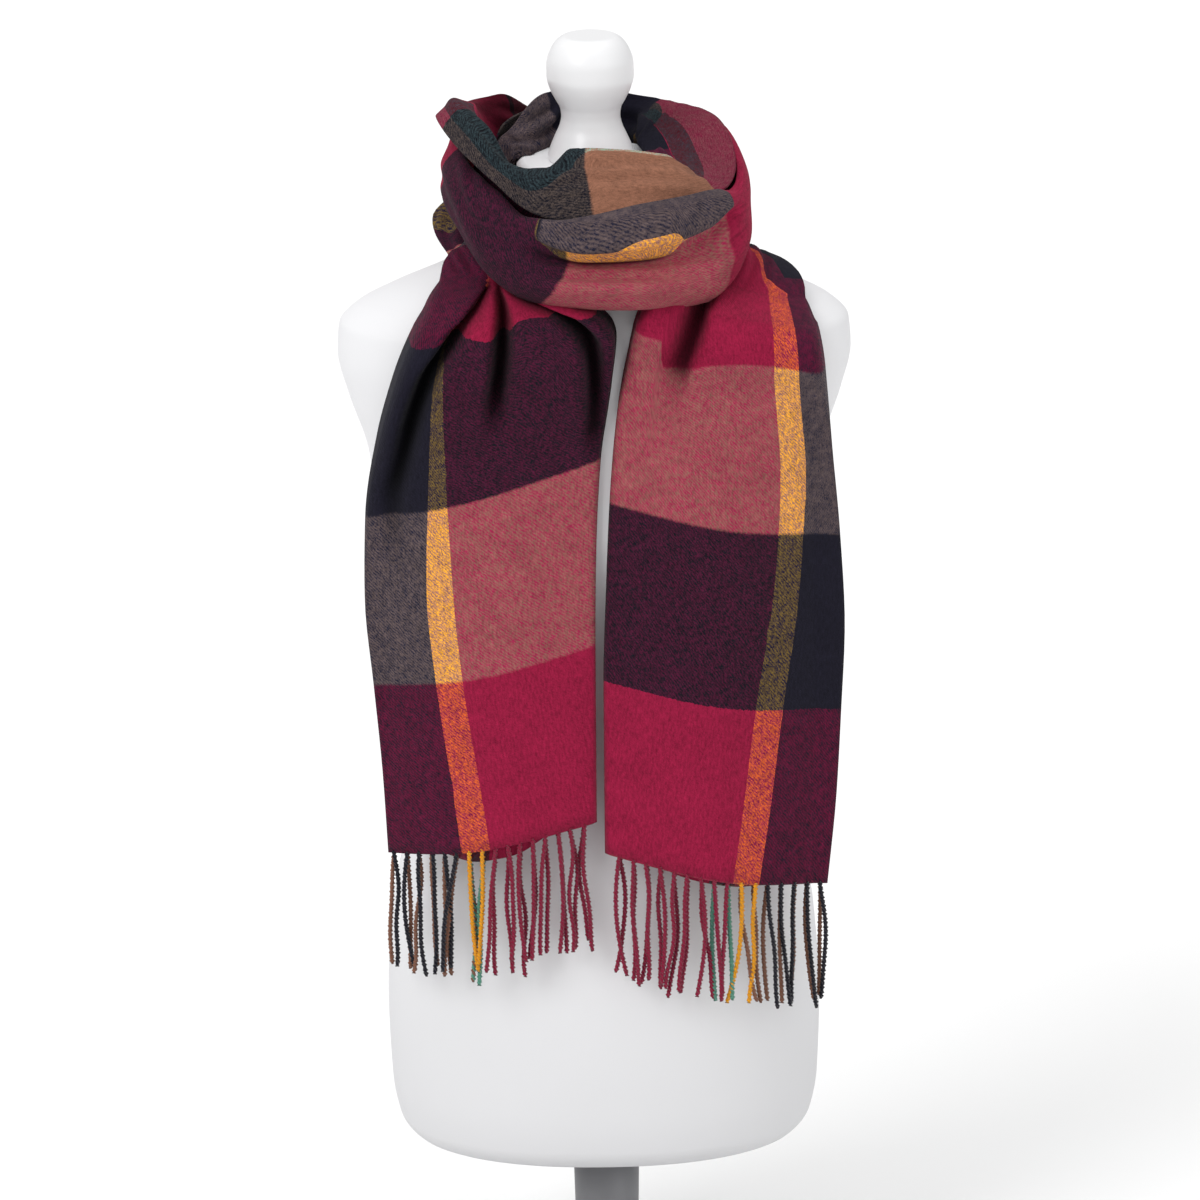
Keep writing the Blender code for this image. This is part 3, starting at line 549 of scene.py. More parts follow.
def top_of_body(side, depth):
    """The height of the neck's and the shoulders' upper surface over a point in plan."""
    levels = np.linspace(-0.150, -0.001, 76)
    section = body_section(levels)
    deep = np.where(depth < 0, section[:, 1], section[:, 2])
    return np.where((side / section[:, 0]) ** 2 + (depth / deep) ** 2 < 1, levels, levels[0]).max()


def clearance(points):
    """How far points are from the body's surface, near enough, and the way out from it: the
    superellipse's own measure in plan less one, divided by the length of its gradient."""

    def measure(at):
        section = body_section(np.ravel(at[..., 2])).reshape(at.shape[:-1] + (4,))
        deep = np.where(at[..., 1] < 0, section[..., 1], section[..., 2])
        square = section[..., 3]
        wide = np.abs(at[..., 0] / section[..., 0]) ** square + np.abs(at[..., 1] / deep) ** square
        return wide ** (1 / square) - 1

    here = measure(points)
    steps = [(measure(points + SLOPE_STEP * way) - here) / SLOPE_STEP for way in np.eye(3)]
    slope = np.stack(steps, axis=-1)
    steep = np.maximum(np.linalg.norm(slope, axis=-1), 1e-6)
    return here / steep, slope / steep[..., None]


# ---- the cloth's middle surface


def fold_over(part):
    """1 over the first layer and -1 over the second, turning like a quarter circle each side of the
    fold."""
    turn = np.clip((0.5 - part) / FOLD_TURN, -1, 1)
    return np.sign(turn) * np.sqrt(1 - (1 - np.abs(turn)) ** 2)


def hanging(tail, run, part):
    """A hanging end: straight lines from selvedge to fold, each layer hung plumb from the body's most
    forward point above it."""
    rows = sorted(tail.rows)
    row = through([r.run for r in rows], [list(r[1:]) for r in rows], run)
    share = 1 - np.abs(2 * part - 1)
    side = row[:, 0, None] + (row[:, 2] - row[:, 0])[:, None] * share
    height = row[:, 1, None] + (row[:, 3] - row[:, 1])[:, None] * share
    slips = tail.slip * (1 - ease(np.abs(run - tail.rows[0].run), 0, SLIP_LONG))[:, None]
    height = height - slips * np.exp(-(((share - SLIP_AT) / SLIP_WIDE) ** 4)) * (part > 0.5)
    above = np.minimum(height[..., None] + np.linspace(0, SEARCH_UP, SEARCH_STEPS), SHOULDER)
    widest = np.broadcast_to((side * EDGE_WRAP)[..., None], above.shape)
    out = front_of_body(widest, above).max(axis=-1) + HANG_CLEAR + 0.5 * LAYER_GAP * fold_over(part)
    return np.stack([side, -out, height], axis=-1)


def sunk(tail, run, share, narrow=1.0):
    """How deep in its valleys each point of a hanging end lies, from 0 to 1: a valley leaves one less
    exp(-x^3) of the height, x being the distance from its line, and what several leave is multiplied."""
    left = np.ones((len(run), len(share)))
    for valley in tail.valleys:
        line = through(valley.runs, valley.places, run)[:, None]
        wide = narrow * np.where(share < line, valley.near, valley.far)
        left *= 1 - ease(run, *valley.fades)[:, None] * np.exp(-((np.abs(share - line) / wide) ** 3))
    return 1 - left


def folds_of(tail, run, part):
    """How far the folds stand off: the lift along the run, less what the valleys sink, and less again
    where both borders roll back."""
    share = 1 - np.abs(2 * part - 1)
    lift = through(*zip(*tail.lift), run)[:, None] * (1 - sunk(tail, run, share))
    border = np.minimum(share, 1 - share) / ROLL_WIDTH
    return lift * np.sqrt(1 - (1 - np.clip(border, 0.0, 1.0)) ** 2) * np.where(part < 0.5, 1.0, REAR_FOLDS)


def hollows(run, part):
    """How far down in a crease each point lies, from 0 to 1, where the nap lies dark: the valleys of the
    hanging ends by their lift, and the crease under the loop's roll."""
    share = 1 - np.abs(2 * part - 1)
    total = np.zeros((len(run), len(part)))
    for tail in TAILS.values():
        lift = through(*zip(*sorted(tail.lift)), run)
        total += sunk(tail, run, share, SHADE_NARROW) * np.clip(lift / HOLLOW_LIFT, 0, 1)[:, None]
    for patch in SHADED:
        along = ease(run, *patch.begins) * (1 - ease(run, *patch.ends))
        total += patch.deep * along[:, None] * ease(part, *patch.across)
    line = through(CREASE.runs, CREASE.places, run)[:, None]
    here = ease(run, *CREASE.runs[:2]) * (1 - ease(run, *CREASE.runs[-2:]))
    return total + here[:, None] * np.exp(-((np.abs(part - line) / CREASE.near) ** 2))


def resting(pair, bearing):
    """A (radius, height) pair in metres, with a height of LIES replaced by the body's own under it."""
    radius, height = np.array(pair) * MM
    if pair[1] == LIES:
        angle = np.radians(bearing)
        height = top_of_body(radius * np.sin(angle), -radius * np.cos(angle)) + LAY_CLEAR
    return np.array([radius, height])


def band_folds(row):
    """The ten named folds of a plain band: each layer a bowed line from its selvedge to the fold."""
    fold = resting(row.fold, row.bearing)
    outer, inner = (resting(pair, row.bearing + row.lead) for pair in (row.outer, row.inner))
    folds = []
    for part in LOOP_ROUND:
        share = abs(2 * part - 1)
        outwards, bowed, edge = (1.0, 1.0, outer) if part < 0.5 else (-1.0, -0.5, inner)
        point = fold + (edge - fold) * share
        apart = 0.5 * LAYER_GAP * np.sin(min(1.0, share / 0.09) * pi / 2)
        if row.rim and part > 0.5:
            rim = np.array(row.rim) * MM
            past = (share - RIM_SHARE) / (1 - RIM_SHARE)
            point = rim + (edge - rim) * past if past > 0 else fold + (rim - fold) * share / RIM_SHARE
            apart *= past <= 0
        bow = bowed * BAND_BOW * np.sin(pi * share) * (row.fold[1] != LIES)
        point[0] += outwards * apart + bow
        folds.append(point)
    return np.array(folds)


def wound(run, part):
    """The cloth round the neck: smooth curves through its folds along the cloth, then across it, each
    point at a radius and a height in the upright plane of its bearing, and laid on the body where it
    touches."""
    bands = [(r.run, r.bearing, r.lead, band_folds(r)) for r in BEFORE_LOOP]
    loop = [(r.run, r.bearing, 0, np.array(r[2:]) * MM) for r in LOOP]
    after = [(r.run, r.bearing, r.lead, band_folds(r)) for r in AFTER_LOOP]
    runs, bearings, leads, folds = zip(*(bands + loop + after))
    turns = np.stack([np.unwrap(np.radians(bearings)), np.radians(leads)], axis=1)
    bearing = through(runs, turns, run)
    line = through(runs, np.array(folds), run)
    section = through(LOOP_ROUND, line.transpose(1, 0, 2), part).transpose(1, 0, 2)
    angle = bearing[:, :1] + bearing[:, 1:] * np.abs(2 * part - 1)
    radius, height = section[..., 0], section[..., 1]
    points = np.stack([radius * np.sin(angle), -radius * np.cos(angle), height], axis=-1)
    return laid(points, run, part, 1.0)


def laid(points, run, part, hug):
    """Points below the neck's top moved along the body's slope to ride clear of it, the two layers one
    gap apart. HUG is how fully a run is drawn on to the shoulder."""
    lying = (1 - ease(run, *STANDS_UP) + ease(run, *LIES_DOWN))[:, None]
    inner = 0.5 - 0.5 * fold_over(part)
    ride = LAY_CLEAR + LAYER_GAP * (lying * inner + (1 - lying) * (1 - inner))
    drawn = (hug * (1 - ease(run, *LEAVES) + ease(run, *MEETS)))[:, None]
    for _ in range(SETTLE_PASSES):
        apart, way = clearance(points)
        move = np.where(apart < ride, ride - apart, drawn * (ride - apart))
        points = points + np.where(points[..., 2] < SETTLE_BELOW, move, 0)[..., None] * way
    return points


def cloth_surface(run, part):
    """The whole cloth's middle surface over run and round: the wound cloth, with each hanging end
    turning into it over its shoulder."""
    points = wound(run, part)
    for tail, theirs in ((TAILS["left"], run < LEFT_STOPS), (TAILS["right"], run > RIGHT_STARTS)):
        hang = hanging(tail, run[theirs], 1 - part)
        lies = ease(run[theirs], tail.hangs, tail.lies)
        mixed = hang + (points[theirs] - hang) * lies[:, None, None]
        resettled = laid(mixed, run[theirs], part, lies**2)
        points[theirs] = np.where(lies[:, None, None] > 0, resettled, mixed)
        points[theirs, :, 1] -= folds_of(tail, run[theirs], 1 - part)
    return wrinkled(points, run, part) + np.array([0, 0, NECK_TOP])


def wrinkled(points, run, part):
    """Lengthwise wrinkles where the cloth is gathered: each point moves along the surface's normal by a
    wave of its distance from the fold, whose phase and height wander. Both layers move the same way."""
    along, over = np.gradient(points, axis=0), np.gradient(points, axis=1)
    normal = np.cross(over, along)
    normal /= np.maximum(np.linalg.norm(normal, axis=-1, keepdims=True), 1e-9)
    spacing = np.linalg.norm(np.diff(points, axis=1), axis=-1)
    distance = np.concatenate([np.zeros((len(run), 1)), np.cumsum(spacing, axis=1)], axis=1)
    middle = np.array([np.interp(0.5, part, row) for row in distance])
    from_fold = np.abs(distance - middle[:, None])
    share = 1 - np.abs(2 * part - 1)
    total = 0.0
    for wrinkle in WRINKLES:
        here = ease(run, *wrinkle.begins) * (1 - ease(run, *wrinkle.ends))
        wander = ripple(wrinkle.seed, run[:, None] / 0.22, from_fold / 0.09)
        height = 1 + 0.45 * ripple(wrinkle.seed + 50, run[:, None] / 0.13, from_fold / 0.05)
        wave = np.sin(2 * pi * from_fold / wrinkle.apart + wrinkle.wander * wander)
        total = total + wrinkle.height * here[:, None] * height * wave
    total = total * (1 - 0.75 * ease(share, 0.86, 1.0)) * (0.15 + 0.85 * ease(share, 0.0, 0.22))
    way = np.sign(0.5 - part) * np.minimum(1, np.abs(part - 0.5) / 0.03)
    return points + normal * (total * way)[..., None]


# ---- the cut's own coordinates on the draped cloth


def hanging_cut(rows, run, part, width):
    """The distance across the cut on a hanging end: straight from the selvedge to the yellow stripe,
    across it and on to the fold in front, then straight back to the other selvedge behind."""
    row = through([r.run for r in rows], [list(r[1:]) for r in rows], run)
    starts, stops, fold_at = row[:, 0, None], row[:, 1, None], row[:, 2, None] * MM
    share = 1 - np.abs(2 * part - 1)
    stripe, beyond = STRIPE_AT
    within = stripe + (beyond - stripe) * (share - starts) / (stops - starts)
    after = beyond + (fold_at - beyond) * (share - stops) / (1 - stops)
    front = np.where(share < starts, stripe * share / starts, np.where(share < stops, within, after))
    return np.where(part < 0.5, front, fold_at + (width - fold_at) * (1 - share))


def cut_of(run, part, width):
    """Where points of the draped cloth lie on the flat cut: (across, along) in metres."""
    across, along = np.empty((len(run), len(part))), np.empty((len(run), len(part)))
    for rows, low, high in zip(CUT_ZONES, ZONES[:-1], ZONES[1:]):
        here = (run >= low) & (run < high)
        stops = [row.run for row in rows]
        for field, values in ((across, "cut"), (along, "lean")):
            table = np.array([getattr(row, values) for row in rows]) * MM
            field[here] = through(ROUND_PLACES, through(stops, table, run[here]).T, part).T
    along += run[:, None]
    share = 1 - np.abs(2 * part - 1)
    tails = (
        (LEFT_STRIPE, LEFT_LEAN, LEFT_LEAN_PLACES, LEFT_JOINS),
        (RIGHT_STRIPE, RIGHT_LEAN, RIGHT_LEAN_PLACES, RIGHT_JOINS),
    )
    for rows, leans, places, joins in tails:
        hung = hanging_cut(rows, run, 1 - part, width)
        wound_here = ease(run, *joins) if joins is LEFT_JOINS else 1 - ease(run, *joins)
        across = hung + (across - hung) * wound_here[:, None]
        lean = through([row.run for row in leans], np.array([row.lean for row in leans]) * MM, run)
        along += through(places, lean.T, share).T
    return across, along


# ---- meshes


def put(name, mesh, *nodes):
    """An object of that mesh in the scene, riding on the form and standing for those CAD nodes."""
    obj = bpy.data.objects.new(name, mesh)
    bpy.context.scene.collection.objects.link(obj)
    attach(obj, BODY)
    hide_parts(*nodes)
    return obj


def grid_faces(rows, columns, closed=False):
    """The quads of a grid of points, row by row, with its columns joined into a ring where it is closed."""
    index = np.arange(rows * columns).reshape(rows, columns)
    after = np.roll(index, -1, axis=1) if closed else index[:, 1:]
    index = index if closed else index[:, :-1]
    return np.stack([index[:-1], after[:-1], after[1:], index[1:]], axis=-1).reshape(-1, 4)


def mesh_of(name, points, faces):
    """A smooth-shaded mesh of those points and quads."""
    mesh = bpy.data.meshes.new(name)
    mesh.vertices.add(len(points))
    mesh.vertices.foreach_set("co", np.ascontiguousarray(points, np.float32).ravel())
    mesh.loops.add(faces.size)
    mesh.loops.foreach_set("vertex_index", np.ascontiguousarray(faces, np.int32).ravel())
    mesh.polygons.add(len(faces))
    mesh.polygons.foreach_set("loop_start", np.arange(0, faces.size, faces.shape[1], dtype=np.int32))
    mesh.update(calc_edges=True)
    mesh.validate()
    mesh.shade_smooth()
    return mesh


def lay_cut(mesh, corners):
    """Writes the cut's coordinates into the mesh's UV map, a pair for each corner of its faces."""
    layer = mesh.uv_layers.new(name="cut")
    layer.data.foreach_set("uv", np.ascontiguousarray(corners, np.float32).ravel())


# ---- shader graphs


class Value:
    """A shader socket in Python arithmetic: each operator adds its Math node."""

    def __init__(self, graph, socket):
        self.graph, self.socket = graph, socket

    def math(self, operation, *others, clamp=False):
        settings = {"operation": operation, "use_clamp": clamp}
        return self.graph.node("ShaderNodeMath", settings, [self, *others])

    def __add__(self, other):
        return self.math("ADD", other)

    def __sub__(self, other):
        return self.math("SUBTRACT", other)

    def __rsub__(self, other):
        return self.graph.node("ShaderNodeMath", {"operation": "SUBTRACT"}, [other, self])

    def __mul__(self, other):
        return self.math("MULTIPLY", other)

    def __truediv__(self, other):
        return self.math("DIVIDE", other)

    __radd__, __rmul__ = __add__, __mul__

    def mod(self, other):
        return self.math("FLOORED_MODULO", other)

    def wave(self):
        """A sine of the value counted in turns, from 0 to 1."""
        return (self * (2 * pi)).math("SINE") * 0.5 + 0.5

    def step(self, edge, soft):
        """0 below the edge and 1 above it, over a soft width."""
        return ((self - (edge - soft / 2)) / soft).math("ADD", 0.0, clamp=True)


class Graph:
    """A material's nodes, added one call at a time."""

    def __init__(self, name):
        self.material = bpy.data.materials.new(name)
        self.material.use_nodes = True
        self.tree = self.material.node_tree
        self.shader = self.tree.nodes["Principled BSDF"]

    def node(self, kind, settings=None, inputs=(), output=0):
        """A node of that type with its settings, its sockets' values or links, and one output to go on
        with."""
        node = self.tree.nodes.new(kind)
        for key, value in (settings or {}).items():
            if key == "stops":
                self.set_stops(node.color_ramp, value)
            elif key == "ramp":
                node.color_ramp.interpolation = value
            else:
                setattr(node, key, value)
        pairs = inputs.items() if isinstance(inputs, dict) else enumerate(inputs)
        for key, value in pairs:
            self.feed(node.inputs[key], value)
        return Value(self, node.outputs[output])

    def set_stops(self, ramp, stops):
        while len(ramp.elements) < len(stops):
            ramp.elements.new(1.0)
        for element, (place, colour) in zip(ramp.elements, stops):
            element.position = place
            element.color = (*colour, 1.0)

    def feed(self, socket, value):
        if isinstance(value, Value):
            self.tree.links.new(value.socket, socket)
        elif isinstance(value, (tuple, list)) and socket.type == "RGBA":
            socket.default_value = (*value, 1.0)[:4]
        else:
            socket.default_value = value

    def mix(self, factor, low, high, blend="MIX"):
        """A colour between two others."""
        settings = {"data_type": "RGBA", "blend_type": blend}
        return self.node("ShaderNodeMix", settings, {0: factor, 6: low, 7: high}, 2)

    def noise(self, vector, scale, detail=2.0, rough=0.5):
        inputs = {"Vector": vector, "Scale": scale, "Detail": detail, "Roughness": rough}
        return self.node("ShaderNodeTexNoise", None, inputs)

    def vector(self, operation, *inputs):
        """Vector maths, also on colours."""
        return self.node("ShaderNodeVectorMath", {"operation": operation}, inputs)

    def grey(self, value):
        return self.node("ShaderNodeCombineXYZ", None, [value, value, value])

    def place(self):
        return self.node("ShaderNodeTexCoord", None, (), "Object")

    def finish(self, colour, roughness, bumps, **constants):
        """Feeds the Principled shader: colour, roughness, then each bump as (height, strength,
        distance)."""
        self.feed(self.shader.inputs["Base Color"], colour)
        self.feed(self.shader.inputs["Roughness"], roughness)
        normal = None
        for height, strength, distance in bumps:
            inputs = {"Height": height, "Strength": strength, "Distance": distance}
            if normal is not None:
                inputs["Normal"] = normal
            normal = self.node("ShaderNodeBump", None, inputs)
        if normal is not None:
            self.feed(self.shader.inputs["Normal"], normal)
        for name, value in constants.items():
            self.feed(self.shader.inputs[name.replace("_", " ")], value)
        return self.material


# The mean colour of two yarns crossed in the brushed twill: (warp, weft)
CROSSED = {
    ("navy", "crimson"): (0.0715, 0.0072, 0.0264),
    ("yellow", "crimson"): (0.433, 0.0590, 0.0435),
    ("teal", "crimson"): (0.062, 0.0190, 0.0290),
    ("tan", "crimson"): (0.185, 0.0285, 0.0510),
    ("navy", "tan"): (0.0720, 0.0535, 0.0600),
    ("yellow", "tan"): (0.600, 0.268, 0.0860),
    ("crimson", "tan"): (0.295, 0.0680, 0.0800),
    ("teal", "tan"): (0.330, 0.270, 0.200),
    ("yellow", "navy"): (0.0823, 0.0529, 0.0310),
    ("crimson", "navy"): (0.0375, 0.0080, 0.0206),
    ("teal", "navy"): (0.0150, 0.0225, 0.0270),
    ("tan", "navy"): (0.0390, 0.0302, 0.0305),
}
WARP = [("navy", 0.0), ("yellow", 0.052), ("crimson", 0.072), ("teal", 0.237), ("tan", 0.254)]
WEFT = ("crimson", "tan", "navy")


def warp_stops(yarns, width, weft=None):
    """The warp stripes as ramp stops across the cut, in their own colours or as crossed by a weft."""
    own = {name: tuple(getattr(yarns, name)) for name, _ in WARP}
    return [(at / width, own[name] if weft in (None, name) else CROSSED[name, weft]) for name, at in WARP]


def twill_material(scarf, yarns):
    """Brushed check twill: stripes of warp by the distance across the cut and blocks of weft by the
    distance along it give each mean colour. Diagonal flecks push it towards the warp yarn and back to
    the weft yarn, by (warp - weft) / (warp + weft), and the nap blurs and clouds it."""
    g = Graph("brushed check twill")
    cut = g.node("ShaderNodeUVMap", {"uv_map": "cut"})
    u, v = (g.node("ShaderNodeSeparateXYZ", None, [cut], axis) for axis in ("X", "Y"))
    place = g.place()
    stray = g.noise(place, 420.0, 2.0) - 0.5
    picks = g.noise(place, 900.0, 1.0) - 0.5
    across = (u + stray * 0.0010) / scarf.width
    along = (v + stray * 0.0022 + picks * 0.0016) / (3 * scarf.block)
    turn = along.mod(1.0)
    second, third = turn.step(1 / 3, 0.006), turn.step(2 / 3, 0.006)
    stops = [warp_stops(yarns, scarf.width, weft) for weft in (*WEFT, None)]
    *ramps, warp = (
        g.node("ShaderNodeValToRGB", {"ramp": "CONSTANT", "stops": colours}, [across]) for colours in stops
    )
    mean = g.mix(third, g.mix(second, ramps[0], ramps[1]), ramps[2])
    own = [tuple(getattr(yarns, name)) for name in WEFT]
    weft = g.mix(third, g.mix(second, own[0], own[1]), own[2])
    tint = g.vector("DIVIDE", g.vector("SUBTRACT", warp, weft), g.vector("ADD", warp, weft))
    wander = g.noise(place, 260.0, 2.0) - 0.5
    diagonal = ((u + v) / (scarf.twill_pitch * 2**0.5) + wander * 1.3).wave()
    slanted = g.node("ShaderNodeCombineXYZ", None, [(u + v) * 620.0, (u - v) * 230.0, 0.0])
    streak = g.noise(slanted, 1.0, 2.0, 0.6)
    nap = g.noise(g.node("ShaderNodeCombineXYZ", None, [u * 620.0, v * 150.0, 5.0]), 1.0, 2.0, 0.6)
    fibre = g.noise(place, 1100.0, 3.0, 0.7)
    cloudy = g.noise(place, 46.0, 3.0)
    patchy = g.noise(place, 190.0, 2.0)
    fleck = (diagonal - 0.5) * 0.55 + (streak - 0.5) * 2.7 + (fibre - 0.5) * 2.4 + (patchy - 0.5) * 1.2
    push = (fleck * yarns.contrast).math("MINIMUM", 0.92).math("MAXIMUM", -0.92)
    flecked = g.vector("MULTIPLY_ADD", tint, g.grey(push), (1.0, 1.0, 1.0))
    shade = (cloudy * 0.40 + fibre * 0.90 + nap * 1.10 + streak * 0.70 - 0.55).math("MAXIMUM", 0.1)
    hollow = g.node("ShaderNodeAttribute", {"attribute_name": "hollow"}, (), "Fac")
    shade = shade * (1 - hollow.math("ADD", 0.0, clamp=True) * 0.88)
    seen = g.vector("MULTIPLY", g.vector("MULTIPLY", mean, flecked), g.grey(shade))
    bumps = [(diagonal, 0.25, 0.0004), (fibre, 0.45, 0.0005), (g.noise(place, 120.0, 3.0), 0.2, 0.0008)]
    return g.finish(
        seen, 0.86 + cloudy * 0.10, bumps, Sheen_Weight=0.03, Sheen_Roughness=0.5, Specular_IOR_Level=0.08,
    )


def yarn_material(scarf, yarns):
    """Twisted yarn: the warp's own colours by the distance across the cut, with fibres along the ply."""
    g = Graph("twisted fringe yarn")
    cut = g.node("ShaderNodeUVMap", {"uv_map": "cut"})
    u = g.node("ShaderNodeSeparateXYZ", None, [cut], "X")
    place = g.place()
    stripes = {"ramp": "CONSTANT", "stops": warp_stops(yarns, scarf.width)}
    warp = g.node("ShaderNodeValToRGB", stripes, [u / scarf.width])
    fibre = g.noise(place, 1300.0, 3.0, 0.7)
    shade = 0.80 + fibre * 0.36
    shown = g.mix(1.0, warp, g.grey(shade), "MULTIPLY")
    return g.finish(
        shown, 0.86 + fibre * 0.1, [(fibre, 0.6, 0.0004)], Sheen_Weight=0.2, Specular_IOR_Level=0.2,
    )


def cover_material(form):
    """Stretch jersey cover: fine knit in the bump, and a shade that deepens towards the foot of the
    body."""
    g = Graph("stretch jersey cover")
    place = g.place()
    knit = g.noise(place, 1100.0, 2.0)
    soft = g.noise(place, 9.0, 2.0)
    height = g.node("ShaderNodeSeparateXYZ", None, [place], "Z")
    shade = 0.985 + soft * 0.03 - (1 - height.step(0.30, 0.34)) * 0.16
    shown = g.mix(1.0, tuple(form.cover), g.grey(shade), "MULTIPLY")
    return g.finish(shown, 0.72 + soft * 0.08, [(knit, 0.12, 0.0003)], Specular_IOR_Level=0.3)


def lacquer_material(form):
    """Smooth white lacquer with a faint orange peel."""
    g = Graph("white lacquer")
    peel = g.noise(g.place(), 160.0, 2.0)
    return g.finish(tuple(form.cap), 0.34 + peel * 0.06, [(peel, 0.05, 0.0003)], Coat_Weight=0.15)


def metal_material(form):
    """Satin grey paint on steel."""
    g = Graph("satin grey paint")
    grain = g.noise(g.place(), 500.0, 2.0)
    return g.finish(tuple(form.metal), 0.42 + grain * 0.1, [(grain, 0.08, 0.0002)], Metallic=0.6)


# ---- the pieces


def across_points(count):
    """Places across the cloth, even over each layer, more of them on the one that shows on the hanging
    ends, and closer together round the fold."""
    turn = np.linspace(0.468, 0.532, 9)
    first = round(0.44 * (count - len(turn)))
    outer, inner = np.linspace(0, 0.46, first), np.linspace(0.54, 1, count - len(turn) - first)
    return np.concatenate([outer, turn, inner])


def along_points(count, length):
    """Places along the cloth, closest round the neck and wide apart where the ends hang plain."""
    stops = np.array([0, 0.24, 0.30, 0.48, 0.55, 1.60, 1.66, 1.82, 1.88, length])
    density = np.array([0.6, 0.6, 1.6, 1.6, 2.1, 2.1, 1.6, 1.6, 0.6, 0.6])
    fine = np.linspace(0, length, 4000)
    total = np.cumsum(np.interp(fine, stops, density))
    return np.interp(np.linspace(total[0], total[-1], count), total, fine)


class SCARF_OT_cloth(bpy.types.Operator):
    """The whole woven cloth as one sheet, folded double, wound and hung"""

    bl_idname = "scarf.cloth"
    bl_label = "Scarf cloth"

    def execute(self, context):
        scarf = context.scene.scarf
        run, part = along_points(scarf.sections, scarf.length), across_points(scarf.across)
        points = cloth_surface(run, part)
        faces = grid_faces(len(run), len(part))
        mesh = mesh_of("scarf_cloth", points.reshape(-1, 3), faces)
        middle, centre = (run[:-1] + run[1:]) / 2, (part[:-1] + part[1:]) / 2
        corners = np.empty((len(run) - 1, len(part) - 1, 4, 2))
        for place, (down, over) in enumerate(((0, 0), (0, 1), (1, 1), (1, 0))):
            near = held_in(run[down : len(run) - 1 + down], middle, ZONES, ZONE_MARGIN)
            beside = held_in(part[over : len(part) - 1 + over], centre, SIDES, SIDE_MARGIN)
            corners[:, :, place, 0], corners[:, :, place, 1] = cut_of(near, beside, scarf.width)
        lay_cut(mesh, corners)
        mesh.attributes.new("hollow", "FLOAT", "POINT").data.foreach_set("value", hollows(run, part).ravel())
        mesh.materials.append(twill_material(scarf, context.scene.yarns))
        obj = put("scarf_cloth", mesh, "tail_left", "back_inner", "loop_front", "back_outer", "tail_right")
        wall = obj.modifiers.new("wall", "SOLIDIFY")
        wall.thickness, wall.offset = scarf.wall, 0.0
        return {"FINISHED"}


def held_in(values, middles, borders, margin):
    """Face corners' values held inside the zone that the middle of their face is in."""
    at = np.searchsorted(borders, middles, side="right") - 1
    borders = np.array(borders)
    return np.clip(values, borders[at] + margin, borders[at + 1] - margin)


class SCARF_OT_fringes(bpy.types.Operator):
    """Both fringes: two-ply strands twisted from the warp ends, loosely hung"""

    bl_idname = "scarf.fringes"
    bl_label = "Twisted fringes"

    def execute(self, context):
        scarf = context.scene.scarf
        material = yarn_material(scarf, context.scene.yarns)
        ends = (("left", 0.0, 1, LEFT_STRIPE, 3), ("right", scarf.length, -1, RIGHT_STRIPE, 8))
        for side, end, inward, rows, seed in ends:
            points, faces, across = fringe(scarf, TAILS[side], end, inward, rows, seed)
            mesh = mesh_of("fringe_" + side, points, faces)
            lay_cut(mesh, np.stack([across[faces.ravel()], np.zeros(faces.size)], axis=-1))
            mesh.materials.append(material)
            put("twisted_fringe_" + side, mesh, "fringe_" + side)
        return {"FINISHED"}


def fringe(scarf, tail, end, inward, rows, seed):
    """The strands of one end. Each is a two-ply section carried down a wandering line: in polar form
    round the line its radius is d|cos a| + sqrt(r^2 - d^2 sin^2 a), with a turning once in each length
    of twist."""
    numbers = np.random.default_rng(seed)
    count = scarf.strands
    layer = (np.arange(count // 2) + 0.5) / count * 0.97
    seats = np.concatenate([layer, 1 - layer[::-1]])
    hem = hanging(tail, np.array([end, end + inward * 0.01]), seats) + np.array([0, 0, NECK_TOP])
    root = hem[0] + np.array([0, 0, ROOT_RISE])
    across = hanging_cut(rows, np.array([end]), seats, scarf.width)[0]
    share = np.linspace(0, 1, STRAND_STEPS)[:, None]
    drop = scarf.fringe_drop * numbers.uniform(0.94, 1.04, count)
    drift = numbers.normal(0, 0.0044, count)
    bow = numbers.normal(0, 0.0021, count)
    wave = numbers.normal(0, 0.0006, count)
    phase = numbers.uniform(0, 2 * pi, count)
    side = root[:, 0] + drift * share**1.5 + bow * np.sin(pi * share) + wave * np.sin(3 * pi * share + phase)
    depth = root[:, 1] + numbers.normal(0, 0.0010, count) * share + 0.0006 * np.sin(2 * pi * share + phase)
    height = root[:, 2] - drop * share
    line = np.stack([side, depth, height], axis=-1)
    apart, ply = 0.21 * scarf.strand_wide, 0.29 * scarf.strand_wide
    around = np.arange(STRAND_SIDES) * 2 * pi / STRAND_SIDES
    turn = 2 * pi * drop * share / scarf.strand_twist + phase
    lobes = around[None, None, :]
    radius = apart * np.abs(np.cos(lobes)) + np.sqrt(ply**2 - (apart * np.sin(lobes)) ** 2)
    taper = 1 - 0.25 * ease(share, 0.985, 1.0) - 0.12 * (1 - ease(share, 0.0, 0.06))
    angle = around[None, None, :] + turn[..., None]
    ring = radius * taper[..., None]
    points = line[:, :, None, :] + np.stack(
        [ring * np.cos(angle), ring * np.sin(angle), np.zeros_like(angle)], axis=-1
    )
    points = points.transpose(1, 0, 2, 3)
    plies = across[:, None, None] + PLY_SPLIT * np.sign(np.cos(around - 0.01))
    plies = np.broadcast_to(plies, points.shape[:3])
    one = grid_faces(STRAND_STEPS, STRAND_SIDES, closed=True)
    size = STRAND_STEPS * STRAND_SIDES
    faces = np.concatenate([one + size * k for k in range(count)])
    closed = [cap_faces(size * k, STRAND_STEPS, STRAND_SIDES) for k in range(count)]
    faces = np.concatenate([faces, *closed])
    return points.reshape(-1, 3), faces, plies.ravel()


